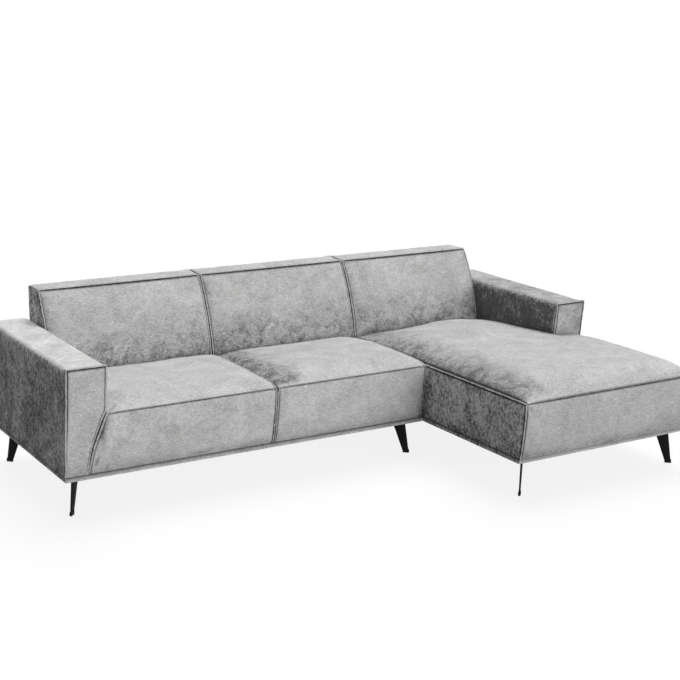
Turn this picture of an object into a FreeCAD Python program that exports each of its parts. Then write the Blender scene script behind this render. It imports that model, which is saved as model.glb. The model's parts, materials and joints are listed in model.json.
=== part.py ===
"""Sectional sofa with a chaise: a two-seater module with the left arm, and a chaise with the right arm.

The two modules stand side by side on blade legs and lock with two drop-in brackets,
so the chaise lifts straight up off the two-seater. Lengths are in millimetres.
X runs along the sofa to the right, Y runs to the back, and Z points up from the floor.
Sizes and places below count from the left arm's outer side, from the top front edge of
the left arm, and from the floor. Each sub-part's Placement then moves them to the model's
origin, which is the middle of the footprint.
"""
import FreeCAD, Part
import math
import os
import Sketcher
from FreeCAD import Placement, Rotation, Vector

doc = FreeCAD.newDocument("sectional_sofa")

DRIVING_SIZES = [
    ("overall_width", 2712, "outer side of the left arm to outer side of the right arm"),
    ("body_depth", 942, "front of the left arm to its rear"),
    ("chaise_reach", 710, "how far the chaise reaches in front of the left arm"),
    ("chaise_swell", 8, "how far the chaise seat swells past the right arm"),
    ("leg_height", 157, "floor to the underside of the base"),
    ("arm_width", 175, "width of each arm"),
    ("arm_height", 640, "floor to the top of an arm"),
    ("arm_front_lean", 50, "how far the arm front leans back from its top to its foot"),
    ("right_arm_setback", 39, "front of the right arm behind the front of the left arm"),
    ("arm_edge_radius", 10, "rounding of the long top edges of an arm"),
    ("panel_thickness", 20, "padded front panel of an arm"),
    ("panel_edge_radius", 5, "rounding round the face of a front panel"),
    ("flare_height", 439, "height where the seat begins to flare out under the left arm"),
    ("flare_reach", 70, "how far the seat front reaches under the left arm at its foot"),
    ("back_height", 800, "floor to the top of the backrest"),
    ("back_top_thickness", 118, "backrest from front to rear at its top"),
    ("back_seat_thickness", 260, "backrest from front to rear at seat level"),
    ("back_bulge", 34, "swell of the backrest face from its chord"),
    ("back_draw_in", 12, "how far the face draws in at the joints between sections"),
    ("back_setback", 16, "rear of the backrest in front of the rear of the arms"),
    ("back_section_width", 798, "width of one backrest section of the two-seater"),
    ("back_foot", 290, "height where the backrest cover ends behind the seat"),
    ("seat_width", 784, "width of one seat of the two-seater"),
    ("seat_height", 434, "floor to the front top seam of the seats"),
    ("seat_setback", 12, "front top seam of the two-seater behind the arm front"),
    ("seat_front_lean", 42, "how far the seat front leans back from its seam to its foot"),
    ("seat_front_bulge", 8, "swell of the seat front"),
    ("seat_crown", 46, "height of a seat's crown over its seam"),
    ("chaise_crown", 66, "height of the chaise's crown over its seam"),
    ("chaise_front_lean", 44, "how far the chaise front tucks back at its foot"),
    ("chaise_front_bulge", 12, "swell of the chaise front"),
    ("shoulder", 90, "length of the steep rim of a seat's crown"),
    ("module_split", 1765, "left side of the two-seater to the plane between the modules"),
    ("module_gap", 12, "space between the two frames, where the brackets are"),
    ("soft_gap", 0.8, "clearance between neighbouring soft pieces"),
    ("cover_thickness", 3, "upholstery fabric with its lining"),
    ("arm_padding_thickness", 11, "foam round an arm frame"),
    ("rear_cover_thickness", 5, "padded fabric on the rear of the backrest"),
    ("band_height", 20, "fabric strip along the foot of the base"),
    ("band_thickness", 5, "thickness of that strip"),
    ("dust_cover_thickness", 1, "cloth under the base"),
    ("rail_thickness", 24, "thickness of the base rails"),
    ("rail_height", 110, "height of the base rails"),
    ("front_rail_setback", 20, "base rails behind the foot of the covers"),
    ("block_size", 130, "side of a corner block"),
    ("block_height", 40, "height of a corner block"),
    ("board_thickness", 15, "arm side boards and arm top boards"),
    ("board_foot", 278, "floor to the foot of the arm side boards"),
    ("arm_post_depth", 45, "arm posts from front to rear"),
    ("back_post_width", 45, "backrest posts along the sofa"),
    ("back_post_depth", 40, "backrest posts from front to rear"),
    ("back_rail_height", 30, "top rail of the backrest frame"),
    ("back_top_padding", 28, "foam and cover over that top rail"),
    ("webbing_thickness", 2, "elastic webbing"),
    ("webbing_width", 60, "width of one webbing strap"),
    ("webbing_pitch", 105, "distance between webbing straps"),
    ("webbing_foot", 330, "floor to the lowest webbing strap"),
    ("wire_diameter", 4, "zigzag spring wire"),
    ("spring_width", 52, "width of a zigzag spring between the middles of its bends"),
    ("spring_pitch", 44, "distance between two bends on one side of a spring"),
    ("springs_per_seat", 4, "zigzag springs under one seat"),
    ("springs_per_bay", 4, "zigzag springs in each half of the chaise"),
    ("leg_blade_thickness", 6, "flat steel of a leg"),
    ("leg_foot_width", 27, "width of a leg at the floor"),
    ("leg_top_width", 66, "width of a leg under its plate"),
    ("leg_splay", 22, "how far a leg's outer edge runs outwards on its way down"),
    ("leg_waist_height", 105, "height where a leg begins to flare under its plate"),
    ("leg_waist_width", 50, "width of a leg at that height"),
    ("leg_plate_overhang", 4, "mounting plate past the leg's outer edge"),
    ("leg_plate_length", 100, "mounting plate of a leg"),
    ("leg_plate_width", 56, "width of that plate"),
    ("leg_plate_thickness", 3, "thickness of that plate"),
    ("leg_front_inset", 36, "middle of a front foot behind the front of the base"),
    ("leg_rear_inset", 74, "middle of a rear foot in front of the rear of the arms"),
    ("leg_side_inset", 39, "middle of a foot from the outer side of an arm"),
    ("leg_split_inset", 73, "middle of a two-seater foot from the plane between the modules"),
    ("chaise_leg_split_inset", 29, "middle of a chaise foot from that plane"),
    ("glide_thickness", 11, "plastic foot cap across the blade"),
    ("glide_width", 31, "plastic foot cap along the blade"),
    ("glide_height", 16, "plastic foot cap"),
    ("glide_sole", 3, "plastic under the blade"),
    ("glide_fit", 0.2, "clearance of the blade in its cap"),
    ("glide_corner", 2.2, "rounding of the upright corners of that cap"),
    ("screw_diameter", 5, "wood screws"),
    ("screw_length", 24, "wood screws, under the head"),
    ("screw_head_diameter", 10, "pan head of a wood screw"),
    ("screw_head_height", 2, "pan head of a wood screw"),
    ("screw_fit", 0.3, "clearance of a screw in its hole"),
    ("leg_screw_pitch", 34, "distance between leg screws"),
    ("bracket_thickness", 2.5, "steel of the coupling brackets"),
    ("bracket_fit", 0.5, "clearance of a tongue in its socket"),
    ("tongue_width", 40, "width of a coupling tongue"),
    ("tongue_length", 58, "length of a coupling tongue"),
    ("socket_width", 110, "width of a coupling socket's back plate"),
    ("socket_height", 80, "height of a coupling socket's back plate"),
    ("socket_depth", 45, "height of the socket's front wall"),
    ("bracket_foot", 172, "floor to the foot of a coupling socket"),
    ("bracket_front", 240, "front of the arm to the middle of the front coupling"),
    ("bracket_spacing", 350, "front coupling to rear coupling"),
]


class Dim:
    """A length that knows both its value and the expression that gives it from the sheet."""

    def __init__(self, value, text):
        self.value = value
        self.text = text

    @staticmethod
    def of(other):
        return other if isinstance(other, Dim) else Dim(float(other), repr(float(other)))

    def __add__(self, other):
        other = Dim.of(other)
        return Dim(self.value + other.value, f"({self.text} + {other.text})")

    def __sub__(self, other):
        other = Dim.of(other)
        return Dim(self.value - other.value, f"({self.text} - {other.text})")

    def __mul__(self, other):
        other = Dim.of(other)
        return Dim(self.value * other.value, f"({self.text} * {other.text})")

    def __truediv__(self, other):
        other = Dim.of(other)
        return Dim(self.value / other.value, f"({self.text} / {other.text})")

    def __neg__(self):
        return Dim(-self.value, f"(-{self.text})")

    def __radd__(self, other):
        return Dim.of(other) + self

    def __rsub__(self, other):
        return Dim.of(other) - self

    def __float__(self):
        return self.value


class SizeSheet:
    """The spreadsheet of driving sizes; each alias reads as an attribute of this object."""

    def __init__(self, rows):
        self.sheet = doc.addObject("Spreadsheet::Sheet", "Sizes")
        for row, (alias, value, note) in enumerate(rows, start=1):
            self.sheet.set(f"A{row}", alias)
            self.sheet.set(f"B{row}", str(value))
            self.sheet.set(f"C{row}", note)
            self.sheet.setAlias(f"B{row}", alias)
        doc.recompute()

    def __getattr__(self, alias):
        return Dim(float(getattr(self.sheet, alias)), f"Sizes.{alias}")


s = SizeSheet(DRIVING_SIZES)
ZERO = Dim(0.0, "0")

# Lines and planes that several pieces share
centre_x = (s.overall_width + s.chaise_swell) / 2
centre_y = (s.body_depth - s.chaise_reach) / 2
base_foot = s.leg_height
frame_foot = base_foot + s.dust_cover_thickness
rail_top = frame_foot + s.rail_height
deck_top = rail_top + s.wire_diameter + s.soft_gap
back_rear = s.body_depth - s.back_setback
back_inner_rear = back_rear - s.rear_cover_thickness - s.soft_gap
frame_rear = back_inner_rear - s.cover_thickness
back_face = back_rear - s.back_seat_thickness
seat_rear = back_face - s.soft_gap
seat_split = s.arm_width + s.seat_width * 2
base_front = s.seat_setback + s.seat_front_lean
frame_front = base_front + s.front_rail_setback
arm_skin = s.cover_thickness + s.arm_padding_thickness
right_arm_left = s.overall_width - s.arm_width
chaise_front = -s.chaise_reach
chaise_frame_front = chaise_front + s.chaise_front_lean + s.front_rail_setback
chaise_right = s.overall_width + s.chaise_swell
two_seater_frame_left = arm_skin + s.soft_gap
two_seater_frame_right = s.module_split - s.module_gap / 2
chaise_frame_left = s.module_split + s.module_gap / 2
chaise_frame_right = s.overall_width - arm_skin - s.soft_gap

subparts = {}


def keep(label, obj):
    """Name a finished sub-part and remember it for the checks and the export."""
    obj.Label = label
    subparts[label] = obj
    return obj


def place(obj, x, y, z):
    """Bind an object's position, given from the sofa's corner, to the sheet."""
    obj.setExpression("Placement.Base.x", (x - centre_x).text)
    obj.setExpression("Placement.Base.y", (y - centre_y).text)
    obj.setExpression("Placement.Base.z", z.text)


def box(label, low, high):
    """A board between two corners, each given as three lengths from the sofa's corner."""
    obj = doc.addObject("Part::Box", label)
    obj.setExpression("Length", (high[0] - low[0]).text)
    obj.setExpression("Width", (high[1] - low[1]).text)
    obj.setExpression("Height", (high[2] - low[2]).text)
    place(obj, *low)
    return obj


def board(label, low, high):
    """A board that is a sub-part by itself."""
    return keep(label, box(label, low, high))


def board_group(label, corners):
    """Boards of one kind that share a node as separate solids."""
    group = doc.addObject("Part::Compound", label)
    group.Links = [box(f"{label}_{i}", *pair) for i, pair in enumerate(corners, start=1)]
    return keep(label, group)


def form(label, shape):
    """A free-form sub-part whose shape was made from the sheet's sizes in corner coordinates."""
    obj = doc.addObject("Part::Feature", label)
    obj.Shape = shape
    obj.Placement = Placement(Vector(-centre_x.value, -centre_y.value, 0), Rotation())
    return keep(label, obj)


def new_body(label):
    return doc.addObject("PartDesign::Body", label)


def polygon_sketch(body, name, role, points, offset=ZERO):
    """A closed outline on one of the body's origin planes, with each corner bound to the sheet."""
    sketch = body.newObject("Sketcher::SketchObject", name)
    plane = next(f for f in body.Origin.OriginFeatures if f.Role == role)
    sketch.AttachmentSupport = [(plane, "")]
    sketch.MapMode = "FlatFace"
    sketch.setExpression("AttachmentOffset.Base.z", offset.text)
    ends = [Vector(p[0].value, p[1].value, 0) for p in points]
    for i, start in enumerate(ends):
        sketch.addGeometry(Part.LineSegment(start, ends[(i + 1) % len(ends)]), False)
    for i, point in enumerate(points):
        following = (i + 1) % len(points)
        sketch.addConstraint(Sketcher.Constraint("Coincident", i, 2, following, 1))
    for i, point in enumerate(points):
        for kind, length in zip(("DistanceX", "DistanceY"), point):
            name_of = f"{kind}{i}"
            sketch.addConstraint(Sketcher.Constraint(kind, -1, 1, i, 1, length.value))
            sketch.renameConstraint(sketch.ConstraintCount - 1, name_of)
            sketch.setExpression(f"Constraints.{name_of}", length.text)
    return sketch


def circles_sketch(body, name, role, centres, diameter, offset=ZERO):
    """Round holes on one of the body's origin planes, bound to the sheet."""
    sketch = body.newObject("Sketcher::SketchObject", name)
    plane = next(f for f in body.Origin.OriginFeatures if f.Role == role)
    sketch.AttachmentSupport = [(plane, "")]
    sketch.MapMode = "FlatFace"
    sketch.setExpression("AttachmentOffset.Base.z", offset.text)
    for i, centre in enumerate(centres):
        middle = Vector(centre[0].value, centre[1].value, 0)
        sketch.addGeometry(Part.Circle(middle, Vector(0, 0, 1), diameter.value / 2), False)
        bound = [("DistanceX", (-1, 1, i, 3), centre[0]), ("DistanceY", (-1, 1, i, 3), centre[1])]
        bound.append(("Diameter", (i,), diameter))
        for kind, where, length in bound:
            name_of = f"{kind}{i}"
            sketch.addConstraint(Sketcher.Constraint(kind, *where, length.value))
            sketch.renameConstraint(sketch.ConstraintCount - 1, name_of)
            sketch.setExpression(f"Constraints.{name_of}", length.text)
    return sketch


def pad(body, sketch, length, midplane=False, backwards=False):
    feature = body.newObject("PartDesign::Pad", f"{sketch.Name}_pad")
    feature.Profile = sketch
    feature.setExpression("Length", length.text)
    feature.Midplane = midplane
    feature.Reversed = backwards
    return feature


def pocket(body, sketch, length, backwards=False):
    """Cut a sketch out of the body, and stop if nothing was cut away."""
    doc.recompute()
    before = body.Shape.Volume
    feature = body.newObject("PartDesign::Pocket", f"{sketch.Name}_pocket")
    feature.Profile = sketch
    feature.setExpression("Length", length.text)
    feature.Reversed = backwards
    doc.recompute()
    assert body.Shape.Volume < before, f"{sketch.Name} cut nothing"
    return feature


def line(a, b):
    return Part.LineSegment(a, b).toShape()


def arc(a, through, b):
    return Part.Arc(a, through, b).toShape()


def slab(low, high):
    """A plain block in corner coordinates, used to cut the soft forms."""
    low = Vector(*[float(v) for v in low])
    high = Vector(*[float(v) for v in high])
    return Part.makeBox(high.x - low.x, high.y - low.y, high.z - low.z, low)


# Soft forms

# Distance from a cushion's side, and the share of the full crown there
SEAT_RIM = [(0, 0.5), (60, 0.88), (200, 1)]
CHAISE_RIM = [(0, 0.04), (30, 0.58), (75, 0.84), (170, 0.96), (320, 1)]
BACK_RIM = [(0, 0), (35, 0.55), (110, 1)]
# Shares of the shoulder's length and of the crown that the steep rim passes through
RIM_MIDDLE = 0.38
RIM_MIDDLE_RISE = 0.52
RIM_TOP_RISE = 0.86
# Length by which cutting blocks and opened forms run past what they cut
FAR = 40
# Share of the shorter run beside a spring's bend that the bend takes up
BEND_SHARE = 0.42
# Coarse tolerance for finding an edge by its place
NEAR = 0.01


def stations(left, right, rim):
    """Places along X with their fullness, mirrored from the rim's list about the middle."""
    near = [(left + x, fullness) for x, fullness in rim]
    return near + [((left + right) / 2, 1)] + [(right - x, fullness) for x, fullness in reversed(rim)]


def seat_outline(x, front, foot, rear, crown, bulge, inset, opened):
    """A seat's outline across X: leaning bulged front, and a crown with a steep rim.

    An opened outline runs on below the foot, so that it opens the cover there.
    """
    seam = s.seat_height.value - inset
    low = base_foot.value + s.band_height.value
    front, foot, rear = front + inset, foot + inset, rear - inset
    rim = s.shoulder.value
    leaned = front + (foot - front) * (seam - low) / (seam - base_foot.value)
    a = Vector(x, leaned, low)
    b = Vector(x, front, seam)
    swell = Vector(x, (leaned + front) / 2 - bulge, (low + seam) / 2)
    c = Vector(x, front + rim, seam + crown * RIM_TOP_RISE)
    d = Vector(x, rear - rim, seam + crown * RIM_TOP_RISE)
    e = Vector(x, rear, seam)
    f = Vector(x, rear, low)
    below = Vector(0, 0, -FAR)
    middle = Vector(x, (front + rear) / 2, seam + crown)
    rise = Vector(x, front + rim * RIM_MIDDLE, seam + crown * RIM_MIDDLE_RISE)
    fall = Vector(x, rear - rim * RIM_MIDDLE, seam + crown * RIM_MIDDLE_RISE)
    edges = [arc(a, swell, b), arc(b, rise, c), arc(c, middle, d), arc(d, fall, e)]
    if opened:
        edges += [line(e, f + below), line(f + below, a + below), line(a + below, a)]
    else:
        edges += [line(e, f), line(f, a)]
    return Part.Wire(edges)


def seat_form(left, right, front, foot, rear, crown, bulge, rim, inset=0, opened=False):
    """A crowned seat; an inset one is the space inside the cover."""
    outlines = []
    for x, fullness in stations(left + inset, right - inset, rim):
        outlines.append(seat_outline(x, front, foot, rear, crown * fullness, bulge, inset, opened))
    return Part.makeLoft(outlines, True, False)


def back_outline(x, fullness, inset):
    """A backrest's outline across X: upright behind the seat, then a swelling, leaning face."""
    draw_in = s.back_draw_in.value * (1 - fullness)
    face = back_face.value + inset
    top = s.back_height.value - inset
    top_front = back_rear.value - s.back_top_thickness.value + inset / 2
    # an inset form runs past the rear and the foot, so that it opens the cover there
    rear = back_inner_rear.value + (FAR if inset else 0)
    low = s.back_foot.value - (FAR if inset else 0)
    seat_level = s.seat_height.value
    chord = Vector(0, top_front - face, top - seat_level)
    outwards = Vector(0, -chord.z, chord.y).normalize()
    a = Vector(x, face, low)
    b = Vector(x, face, seat_level)
    middle = (b + Vector(x, top_front, top)) / 2 + outwards * (s.back_bulge.value - draw_in)
    c = Vector(x, top_front, top)
    d = Vector(x, rear, top)
    e = Vector(x, rear, low)
    return Part.Wire([line(a, b), arc(b, middle, c), line(c, d), line(d, e), line(e, a)])


def back_form(left, right, inset):
    places = stations(left + inset, right - inset, BACK_RIM)
    return Part.makeLoft([back_outline(x, fullness, inset) for x, fullness in places], True, False)


def seat_cushion(name, shape, frame_block, cuts=(), apron=None):
    """Cover and foam of one seat. The cover is a shell that is open at its foot, over the foam.

    shape gives the sides, front, foot, rear, crown, front bulge and rim; frame_block is the
    room of the frame and the springs; cuts are other blocks that both pieces leave free;
    apron is a part of the cover only.
    """
    cover = s.cover_thickness.value
    sizes = [size.value if isinstance(size, Dim) else size for size in shape]
    outer = seat_form(*sizes)
    if apron is not None:
        outer = outer.fuse(apron).removeSplitter()
    shell = outer.cut(seat_form(*sizes, inset=cover, opened=True))
    foam = seat_form(*sizes, inset=cover + s.soft_gap.value / 2)
    for block in (frame_block, *cuts):
        shell = shell.cut(block)
        foam = foam.cut(block)
    form(f"{name}_cover", shell)
    form(f"{name}_foam", foam)


def back_cushion(name, left, right, open_left=False, open_right=False):
    """Cover and foam of one backrest section, round the posts and the top rail.

    An open end lets the rail and the webbing run on into the next section of the module.
    """
    cover = s.cover_thickness.value
    post_front = frame_rear - s.back_post_depth - s.webbing_thickness - s.soft_gap
    rail_over = s.back_height - s.back_top_padding + s.soft_gap
    first = left - FAR if open_left else left + cover
    last = right + FAR if open_right else right - cover
    behind = slab((first, post_front, 0), (last, back_rear + FAR, rail_over))
    beside = slab((left, post_front, 0), (right, back_rear + FAR, rail_over))
    over = slab((left, frame_rear, 0), (right, back_rear + 2 * FAR, s.back_height + FAR))
    below = slab((left, back_face - FAR, 0), (right, back_rear + 2 * FAR, s.back_foot))
    outer = back_form(left.value, right.value, 0)
    hollow = back_form(left.value, right.value, cover)
    form(f"{name}_cover", outer.cut(hollow).cut(behind))
    foam = back_form(left.value, right.value, cover + s.soft_gap.value / 2)
    form(f"{name}_foam", foam.cut(beside).cut(over).cut(below))


# Base frames


def base_frame(module, left, right, front, cross_rails):
    """Rails and corner blocks of one module; the rails that face front and rear are one pair."""
    t = s.rail_thickness
    rear = frame_rear
    across = [
        ((left, front, frame_foot), (right, front + t, rail_top)),
        ((left, rear - t, frame_foot), (right, rear, rail_top)),
    ]
    along = [
        ((left, front + t, frame_foot), (left + t, rear - t, rail_top)),
        ((right - t, front + t, frame_foot), (right, rear - t, rail_top)),
    ]
    board_group(f"{module}_front_and_rear_rails", across)
    board_group(f"{module}_side_rails", along)
    if len(cross_rails) == 1:
        board(f"{module}_cross_rail", *cross_rails[0])
    else:
        board_group(f"{module}_cross_rails", cross_rails)
    size = s.block_size
    blocks = []
    for x in (left + t, right - t - size):
        for y in (front + t, rear - t - size):
            blocks.append(((x, y, frame_foot), (x + size, y + size, frame_foot + s.block_height)))
    board_group(f"{module}_corner_blocks", blocks)


def zigzag_spring(length):
    """One spring along Y from the origin: straight runs joined by round bends, flat in Z."""
    bends = max(2, round(length / (s.spring_pitch.value / 2)) - 1)
    step = length / (bends + 1)
    half = s.spring_width.value / 2
    corners = [Vector(0, 0, 0)]
    for i in range(bends):
        side = half if i % 2 == 0 else -half
        corners.append(Vector(side, step * (i + 1), 0))
    corners.append(Vector(0, length, 0))
    edges = []
    start = corners[0]
    for before, corner, after in zip(corners, corners[1:], corners[2:]):
        into, out = (corner - before).normalize(), (after - corner).normalize()
        turn = into.getAngle(out)
        shorter = min((corner - before).Length, (after - corner).Length)
        tangent = BEND_SHARE * shorter
        radius = tangent / math.tan(turn / 2)
        begin, end = corner - into * tangent, corner + out * tangent
        inwards = (out - into).normalize()
        middle = corner + inwards * (radius / math.cos(turn / 2) - radius)
        edges += [line(start, begin), arc(begin, middle, end)]
        start = end
    edges.append(line(start, corners[-1]))
    path = Part.Wire(edges)
    circle = Part.Circle(corners[0], edges[0].tangentAt(0), s.wire_diameter.value / 2)
    return path.makePipeShell([Part.Wire(circle.toShape())], True, False)


def seat_springs(label, places, turn):
    """Copies of one spring, each turned about Z and put at its place on the rails."""
    height = rail_top.value + s.wire_diameter.value / 2
    copies = []
    spring = zigzag_spring(places[0][2])
    for x, y, _ in places:
        copy = spring.copy()
        copy.Placement = Placement(Vector(x, y, height), Rotation(Vector(0, 0, 1), turn))
        copies.append(copy)
    form(label, Part.makeCompound(copies))


# Backrest frames


def back_frame(module, left, right, post_places):
    """Posts on the rear rail, the rail over them, and webbing straps across their front."""
    foot = rail_top
    top = s.back_height - s.back_top_padding
    under_rail = top - s.back_rail_height
    front = frame_rear - s.back_post_depth
    width = s.back_post_width
    posts = [((x, front, foot), (x + width, frame_rear, under_rail)) for x in post_places]
    board_group(f"{module}_back_posts", posts)
    board(f"{module}_back_top_rail", (left, front, under_rail), (right, frame_rear, top))
    count = int((under_rail.value - s.webbing_foot.value) // s.webbing_pitch.value)
    straps = []
    for i in range(max(1, count)):
        low = s.webbing_foot + s.webbing_pitch * i
        straps.append(((left, front - s.webbing_thickness, low), (right, front, low + s.webbing_width)))
    board_group(f"{module}_back_webbing", straps)


# Arms


def lean(z):
    """How far an arm's leaning front stands back at a height."""
    return s.arm_front_lean * (s.arm_height - z) / (s.arm_height - base_foot)


def arm_profile(front, rear, foot, top):
    """Corners in Y and Z of an arm layer whose front edge leans back towards its foot."""
    return [(front + lean(foot), foot), (rear, foot), (rear, top), (front + lean(top), top)]


def arm_layer(label, left, width, profile):
    """A block with an arm's side profile, padded along X."""
    body = new_body(label)
    pad(body, polygon_sketch(body, f"{label}_outline", "YZ_Plane", profile), width)
    place(body, left, ZERO, ZERO)
    doc.recompute()
    return body


def arm_layers(label, pieces):
    """Blocks of one kind that share a node as separate solids."""
    group = doc.addObject("Part::Compound", label)
    group.Links = [arm_layer(f"{label}_{i}", *piece) for i, piece in enumerate(pieces, start=1)]
    return keep(label, group)


def round_top_edges(body, top, radius):
    """Round the two long edges along the top of an arm layer."""
    solid = body.Tip
    names = []
    for i, edge in enumerate(solid.Shape.Edges, start=1):
        ends = [v.Point.z for v in edge.Vertexes]
        along = abs(edge.Vertexes[0].Point.y - edge.Vertexes[-1].Point.y)
        if min(ends) > top.value - NEAR and along > s.body_depth.value / 2:
            names.append(f"Edge{i}")
    fillet = body.newObject("PartDesign::Fillet", f"{body.Name}_rounding")
    fillet.Base = (solid, names)
    fillet.setExpression("Radius", radius.text)
    doc.recompute()


def arm(side, left, setback, seat_side):
    """Frame, padding and cover of one arm; seat_side is +1 where the seat is on its right."""
    width = s.arm_width
    skin = arm_skin + s.soft_gap
    behind_panel = setback + s.panel_thickness + s.soft_gap
    top = s.arm_height - skin
    t = s.board_thickness
    under_board = top - t
    depth = s.arm_post_depth
    rear = frame_rear
    inner_left = left + skin + t
    inner_right = left + width - skin - t
    between = inner_right - inner_left

    front_post = [
        (behind_panel + lean(rail_top), rail_top),
        (behind_panel + lean(rail_top) + depth, rail_top),
        (behind_panel + lean(under_board) + depth, under_board),
        (behind_panel + lean(under_board), under_board),
    ]
    rear_post = [
        (rear - depth, rail_top),
        (rear, rail_top),
        (rear, under_board),
        (rear - depth, under_board),
    ]
    posts = [(inner_left, between, front_post), (inner_left, between, rear_post)]
    arm_layers(f"{side}_arm_posts", posts)
    side_board = arm_profile(behind_panel, rear, s.board_foot, under_board)
    boards = [(left + skin, t, side_board), (inner_right, t, side_board)]
    arm_layers(f"{side}_arm_side_boards", boards)
    label = f"{side}_arm_top_board"
    top_board = arm_profile(behind_panel, rear, under_board, top)
    keep(label, arm_layer(label, left + skin, width - skin * 2, top_board))

    half_gap = s.soft_gap / 2
    layers = [
        ("cover", ZERO, s.cover_thickness),
        ("padding", s.cover_thickness + half_gap, arm_skin + half_gap),
    ]
    foot = base_foot + s.band_height
    for name, outer, inner in layers:
        label = f"{side}_arm_{name}"
        profile = arm_profile(behind_panel, s.body_depth - outer, foot, s.arm_height - outer)
        body = arm_layer(label, left + outer, width - outer * 2, profile)
        round_top_edges(body, s.arm_height - outer, s.arm_edge_radius - outer)
        hollow = [
            (ZERO - FAR, foot - FAR),
            (s.body_depth - inner, foot - FAR),
            (s.body_depth - inner, s.arm_height - inner),
            (ZERO - FAR, s.arm_height - inner),
        ]
        sketch = polygon_sketch(body, f"{label}_hollow", "YZ_Plane", hollow, inner - outer)
        pocket(body, sketch, width - inner * 2, backwards=True)
        # the wall that faces the seat ends above the base rails, which pass under it
        wall = width - outer - inner if seat_side > 0 else ZERO
        gate = [(ZERO - FAR, foot - FAR), (s.body_depth + FAR, foot - FAR)]
        gate += [(s.body_depth + FAR, s.board_foot), (ZERO - FAR, s.board_foot)]
        opening = polygon_sketch(body, f"{label}_gate", "YZ_Plane", gate, wall)
        pocket(body, opening, inner - outer, backwards=True)
        keep(label, body)


def front_panel(side, left, setback, outline):
    """Padded panel on an arm's leaning front. outline gives its corners along and up the front."""
    label = f"{side}_arm_front_panel"
    rise = s.arm_height - base_foot
    tilt = math.atan2(s.arm_front_lean.value, rise.value)
    stretch = 1 / math.cos(tilt)
    body = new_body(label)
    points = [(x, (z - base_foot) * stretch) for x, z in outline]
    sketch = polygon_sketch(body, f"{label}_outline", "XZ_Plane", points)
    pad(body, sketch, s.panel_thickness * math.cos(tilt), backwards=True)
    doc.recompute()
    solid = body.Tip
    front_edges = []
    for i, edge in enumerate(solid.Shape.Edges, start=1):
        if max(abs(v.Point.y) for v in edge.Vertexes) < NEAR:
            front_edges.append(f"Edge{i}")
    fillet = body.newObject("PartDesign::Fillet", f"{label}_rounding")
    fillet.Base = (solid, front_edges)
    fillet.setExpression("Radius", s.panel_edge_radius.text)
    body.Placement = Placement(Vector(), Rotation(Vector(1, 0, 0), math.degrees(tilt)))
    place(body, left, setback + s.arm_front_lean, base_foot)
    return keep(label, body)


# Legs, screws and couplings


def leg_waist_inner():
    """Inner edge of a leg where it begins to flare, counted from the middle of its foot."""
    blade_height = s.leg_height - s.leg_plate_thickness - s.glide_sole
    share = (s.leg_waist_height - s.glide_sole) / blade_height
    return s.leg_foot_width / 2 - s.leg_splay * share - s.leg_waist_width


def blade_leg(label, x, y, angle):
    """A flat tapered blade that splays outwards, welded under its mounting plate.

    x and y are the middle of the foot, and angle points outwards from the base's corner.
    """
    body = new_body(label)
    foot_half = s.leg_foot_width / 2
    top = s.leg_height - s.leg_plate_thickness
    outer = foot_half - s.leg_splay
    inner = outer - s.leg_top_width
    points = [
        (-foot_half, s.glide_sole),
        (foot_half, s.glide_sole),
        (outer, top),
        (inner, top),
        (leg_waist_inner(), s.leg_waist_height),
    ]
    blade = polygon_sketch(body, f"{label}_blade", "XZ_Plane", points)
    pad(body, blade, s.leg_blade_thickness, midplane=True)
    half = s.leg_plate_width / 2
    plate_outer = outer + s.leg_plate_overhang
    plate_inner = plate_outer - s.leg_plate_length
    corners = [(plate_inner, -half), (plate_outer, -half), (plate_outer, half), (plate_inner, half)]
    plate = polygon_sketch(body, f"{label}_plate", "XY_Plane", corners, top)
    pad(body, plate, s.leg_plate_thickness)
    hole = s.screw_diameter + s.screw_fit * 2
    holes = circles_sketch(body, f"{label}_holes", "XY_Plane", leg_screw_places(), hole, top - FAR)
    pocket(body, holes, s.leg_plate_thickness + FAR * 2, backwards=True)
    body.Placement = Placement(Vector(), Rotation(Vector(0, 0, 1), angle))
    place(body, x, y, ZERO)
    return keep(label, body)


def leg_screw_places():
    """Holes in a leg's own frame: a pair on each side of the blade."""
    outer = s.leg_foot_width / 2 - s.leg_splay + s.leg_plate_overhang
    middle = outer - s.leg_plate_length / 2
    along = s.leg_screw_pitch / 2
    side = s.leg_plate_width / 2 - s.screw_head_diameter
    return [(middle + along * i, side * j) for i in (-1, 1) for j in (-1, 1)]


def screw(head, direction):
    """A pan-head screw from the foot of its head along a direction."""
    shaft = Part.makeCylinder(s.screw_diameter.value / 2, s.screw_length.value, head, direction)
    cap_foot = head - direction * s.screw_head_height.value
    cap = Part.makeCylinder(s.screw_head_diameter.value / 2, s.screw_head_height.value, cap_foot, direction)
    return shaft.fuse(cap).removeSplitter()


def screw_hole(middle, direction):
    """A hole for a screw that runs well past both sides of a bracket."""
    radius = (s.screw_diameter / 2 + s.screw_fit).value
    return Part.makeCylinder(radius, 2 * FAR, middle - direction * FAR, direction)


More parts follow.
